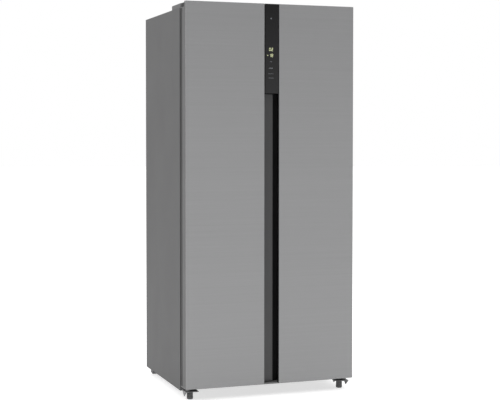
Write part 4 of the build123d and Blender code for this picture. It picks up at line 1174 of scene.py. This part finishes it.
# ---- operators: the machine compartment -----------------------------------------------
class FRIDGE_OT_machine_room(bpy.types.Operator):
    """Make the rear grille's louvres and screws, and the cord gland"""
    bl_idname = "fridge.machine_room"
    bl_label = "Machine compartment"

    def execute(self, context):
        low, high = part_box("rear_grille")
        middle_z, pitch, tilt = (low.z + high.z) / 2, 14 * MM, math.radians(28)
        bm = bmesh.new()
        for bank in (-220, 0, 190):
            for k in range(-5, 6):
                z = middle_z + k * pitch
                made = add_block(bm, ((bank - 74) * MM, high.y - 9 * MM, z - 0.5 * MM),
                                 ((bank + 74) * MM, high.y - 2 * MM, z + 0.5 * MM))
                turn_verts(bm, made, (0, high.y - 2 * MM, z + 2.5 * MM), tilt, "X")
        for x in (low.x + 9 * MM, -0.110, 0.095, high.x - 9 * MM):
            for z in (low.z + 9 * MM, high.z - 9 * MM):
                add_disc(bm, (x, high.y - 0.8 * MM, z), 4 * MM, 1.5 * MM, "Y", 20, 0.4 * MM)
        finish_piece(bm, "grille_louvres", "black_plastic")

        gland_low, gland_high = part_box("power_inlet")
        x, z = (gland_low.x + gland_high.x) / 2, (gland_low.z + gland_high.z) / 2
        bore, edge = 4.2 * MM, 0.6 * MM
        bm = bmesh.new()
        for radius, y0, y1 in ((8.6 * MM, high.y - 6 * MM, high.y),
                               (11.6 * MM, gland_low.y, gland_low.y + 8 * MM)):
            profile = [(bore, y0), (radius - edge, y0), (radius, y0 + edge), (radius, y1 - edge),
                       (radius - edge, y1), (bore, y1)]
            add_turned(bm, [(x + r, y, z) for r, y in profile], (x, 0, z), "Y", 40, closed=True)
        finish_piece(bm, "cord_gland", "black_plastic", replaces=["power_inlet"])
        return {"FINISHED"}


# ---- operator: the stage ------------------------------------------------------------
def soft_light(name, place, aim, size, power):
    """A large square area light that points at a place."""
    light = bpy.data.lights.new(name, "AREA")
    light.shape = "SQUARE"
    light.size = size
    light.energy = power
    lamp = bpy.data.objects.new(name, light)
    lamp.location = place
    lamp.rotation_euler = (Vector(aim) - Vector(place)).to_track_quat("-Z", "Y").to_euler()
    bpy.context.scene.collection.objects.link(lamp)


def make_floor():
    """A wide pale disc just under the feet."""
    bm = bmesh.new()
    bmesh.ops.create_circle(bm, cap_ends=True, segments=96, radius=40.0)
    bmesh.ops.translate(bm, verts=bm.verts[:], vec=(0, 0, -0.0005))
    mesh = bpy.data.meshes.new("floor")
    bm.to_mesh(mesh)
    bm.free()
    floor = bpy.data.objects.new("floor", mesh)
    bpy.context.scene.collection.objects.link(floor)
    material, tree, shader = start_material("floor_pale", Roughness=0.75, Specular_IOR_Level=0.2,
                                            Emission_Strength=0.62)
    shader["Emission Color"].default_value = (1, 1, 1, 1)
    grain = noise(tree, object_coordinates(tree), 3.0)
    tree.links.new(blend_colours(tree, grain, (0.54, 0.54, 0.54), (0.58, 0.58, 0.58)), shader["Base Color"])
    mesh.materials.append(material)


def make_world():
    """A white studio behind; in front a darker room, lighter near the floor and overhead."""
    world = bpy.data.worlds.new("studio")
    bpy.context.scene.world = world
    world.use_nodes = True
    sky = world.node_tree
    sky.nodes.clear()
    direction = add_node(sky, "ShaderNodeTexCoord").outputs["Generated"]
    up = height_along(sky, direction, "Z")
    front = plus(sky, remap(sky, up, 0.0, 0.12, 0.95, 0.28), remap(sky, up, 0.25, 0.8, 0.0, 0.5))
    behind = remap(sky, height_along(sky, direction, "Y"), -0.3, 0.3)
    level = plus(sky, times(sky, front, math_node(sky, "SUBTRACT", 1.0, behind)), behind)
    seen = add_node(sky, "ShaderNodeLightPath").outputs["Is Camera Ray"]    # plain white where it is seen
    background = add_node(sky, "ShaderNodeBackground", {
        "Color": (1, 1, 1, 1), "Strength": math_node(sky, "MAXIMUM", level, seen)})
    surface = add_node(sky, "ShaderNodeOutputWorld")
    sky.links.new(background.outputs["Background"], surface.inputs["Surface"])


class FRIDGE_OT_stage(bpy.types.Operator):
    """Set the pale floor, the soft studio light and the camera"""
    bl_idname = "fridge.stage"
    bl_label = "Stage, light and camera"

    def execute(self, context):
        scene = context.scene
        make_floor()
        make_world()
        soft_light("key", (-5.2, -3.6, 4.5), (0, 0, 0.9), 3.5, 240)
        soft_light("fill", (4.5, -2.0, 3.2), (0, 0, 0.9), 3.0, 60)
        soft_light("overhead", (0.5, 1.0, 6.0), (0, 0, 1.0), 4.0, 120)
        lens = bpy.data.cameras.new("camera")
        lens.lens, lens.sensor_width = CAMERA_LENS, 36.0
        lens.shift_x, lens.shift_y = CAMERA_SHIFT
        camera = bpy.data.objects.new("camera", lens)
        camera.location = CAMERA_PLACE
        camera.rotation_euler = (math.radians(CAMERA_TURN[0]), 0, math.radians(CAMERA_TURN[1]))
        scene.collection.objects.link(camera)
        scene.camera = camera
        scene.view_settings.view_transform = "Standard"
        return {"FINISHED"}


# ---- panel, registration and the run --------------------------------------------------
OPERATORS = (FRIDGE_OT_finish_frame, FRIDGE_OT_door_glass, FRIDGE_OT_control_panel, FRIDGE_OT_handle_recess,
             FRIDGE_OT_hinge_covers, FRIDGE_OT_feet, FRIDGE_OT_side_panels, FRIDGE_OT_back, FRIDGE_OT_foam,
             FRIDGE_OT_liners, FRIDGE_OT_shelves, FRIDGE_OT_drawers, FRIDGE_OT_lamps, FRIDGE_OT_air_vents,
             FRIDGE_OT_door_liners, FRIDGE_OT_gaskets, FRIDGE_OT_door_bins, FRIDGE_OT_machine_room,
             FRIDGE_OT_stage)


class FRIDGE_PT_finish(bpy.types.Panel):
    """Lists the refrigerator's operators with its sizes and colours"""
    bl_idname = "FRIDGE_PT_finish"
    bl_label = "Side by Side Refrigerator"
    bl_space_type = "VIEW_3D"
    bl_region_type = "UI"
    bl_category = "Refrigerator"

    def draw(self, context):
        for operator in OPERATORS:
            self.layout.operator(operator.bl_idname)
        for group in (context.scene.fridge_sizes, context.scene.fridge_colours):
            for key in group.bl_rna.properties.keys():
                if key not in {"rna_type", "name"}:
                    self.layout.prop(group, key)


CLASSES = (FridgeSizes, FridgeColours, *OPERATORS, FRIDGE_PT_finish)


def register():
    """Register every class and hang the settings on the scene."""
    for each in CLASSES:
        bpy.utils.register_class(each)
    bpy.types.Scene.fridge_sizes = bpy.props.PointerProperty(type=FridgeSizes)
    bpy.types.Scene.fridge_colours = bpy.props.PointerProperty(type=FridgeColours)


def unregister():
    """Take the settings and every class away again."""
    del bpy.types.Scene.fridge_colours
    del bpy.types.Scene.fridge_sizes
    for each in reversed(CLASSES):
        bpy.utils.unregister_class(each)


def main():
    """Build every piece and the stage."""
    register()
    for operator in OPERATORS:
        group, name = operator.bl_idname.split(".")
        getattr(getattr(bpy.ops, group), name)()


if __name__ == "__main__":
    main()
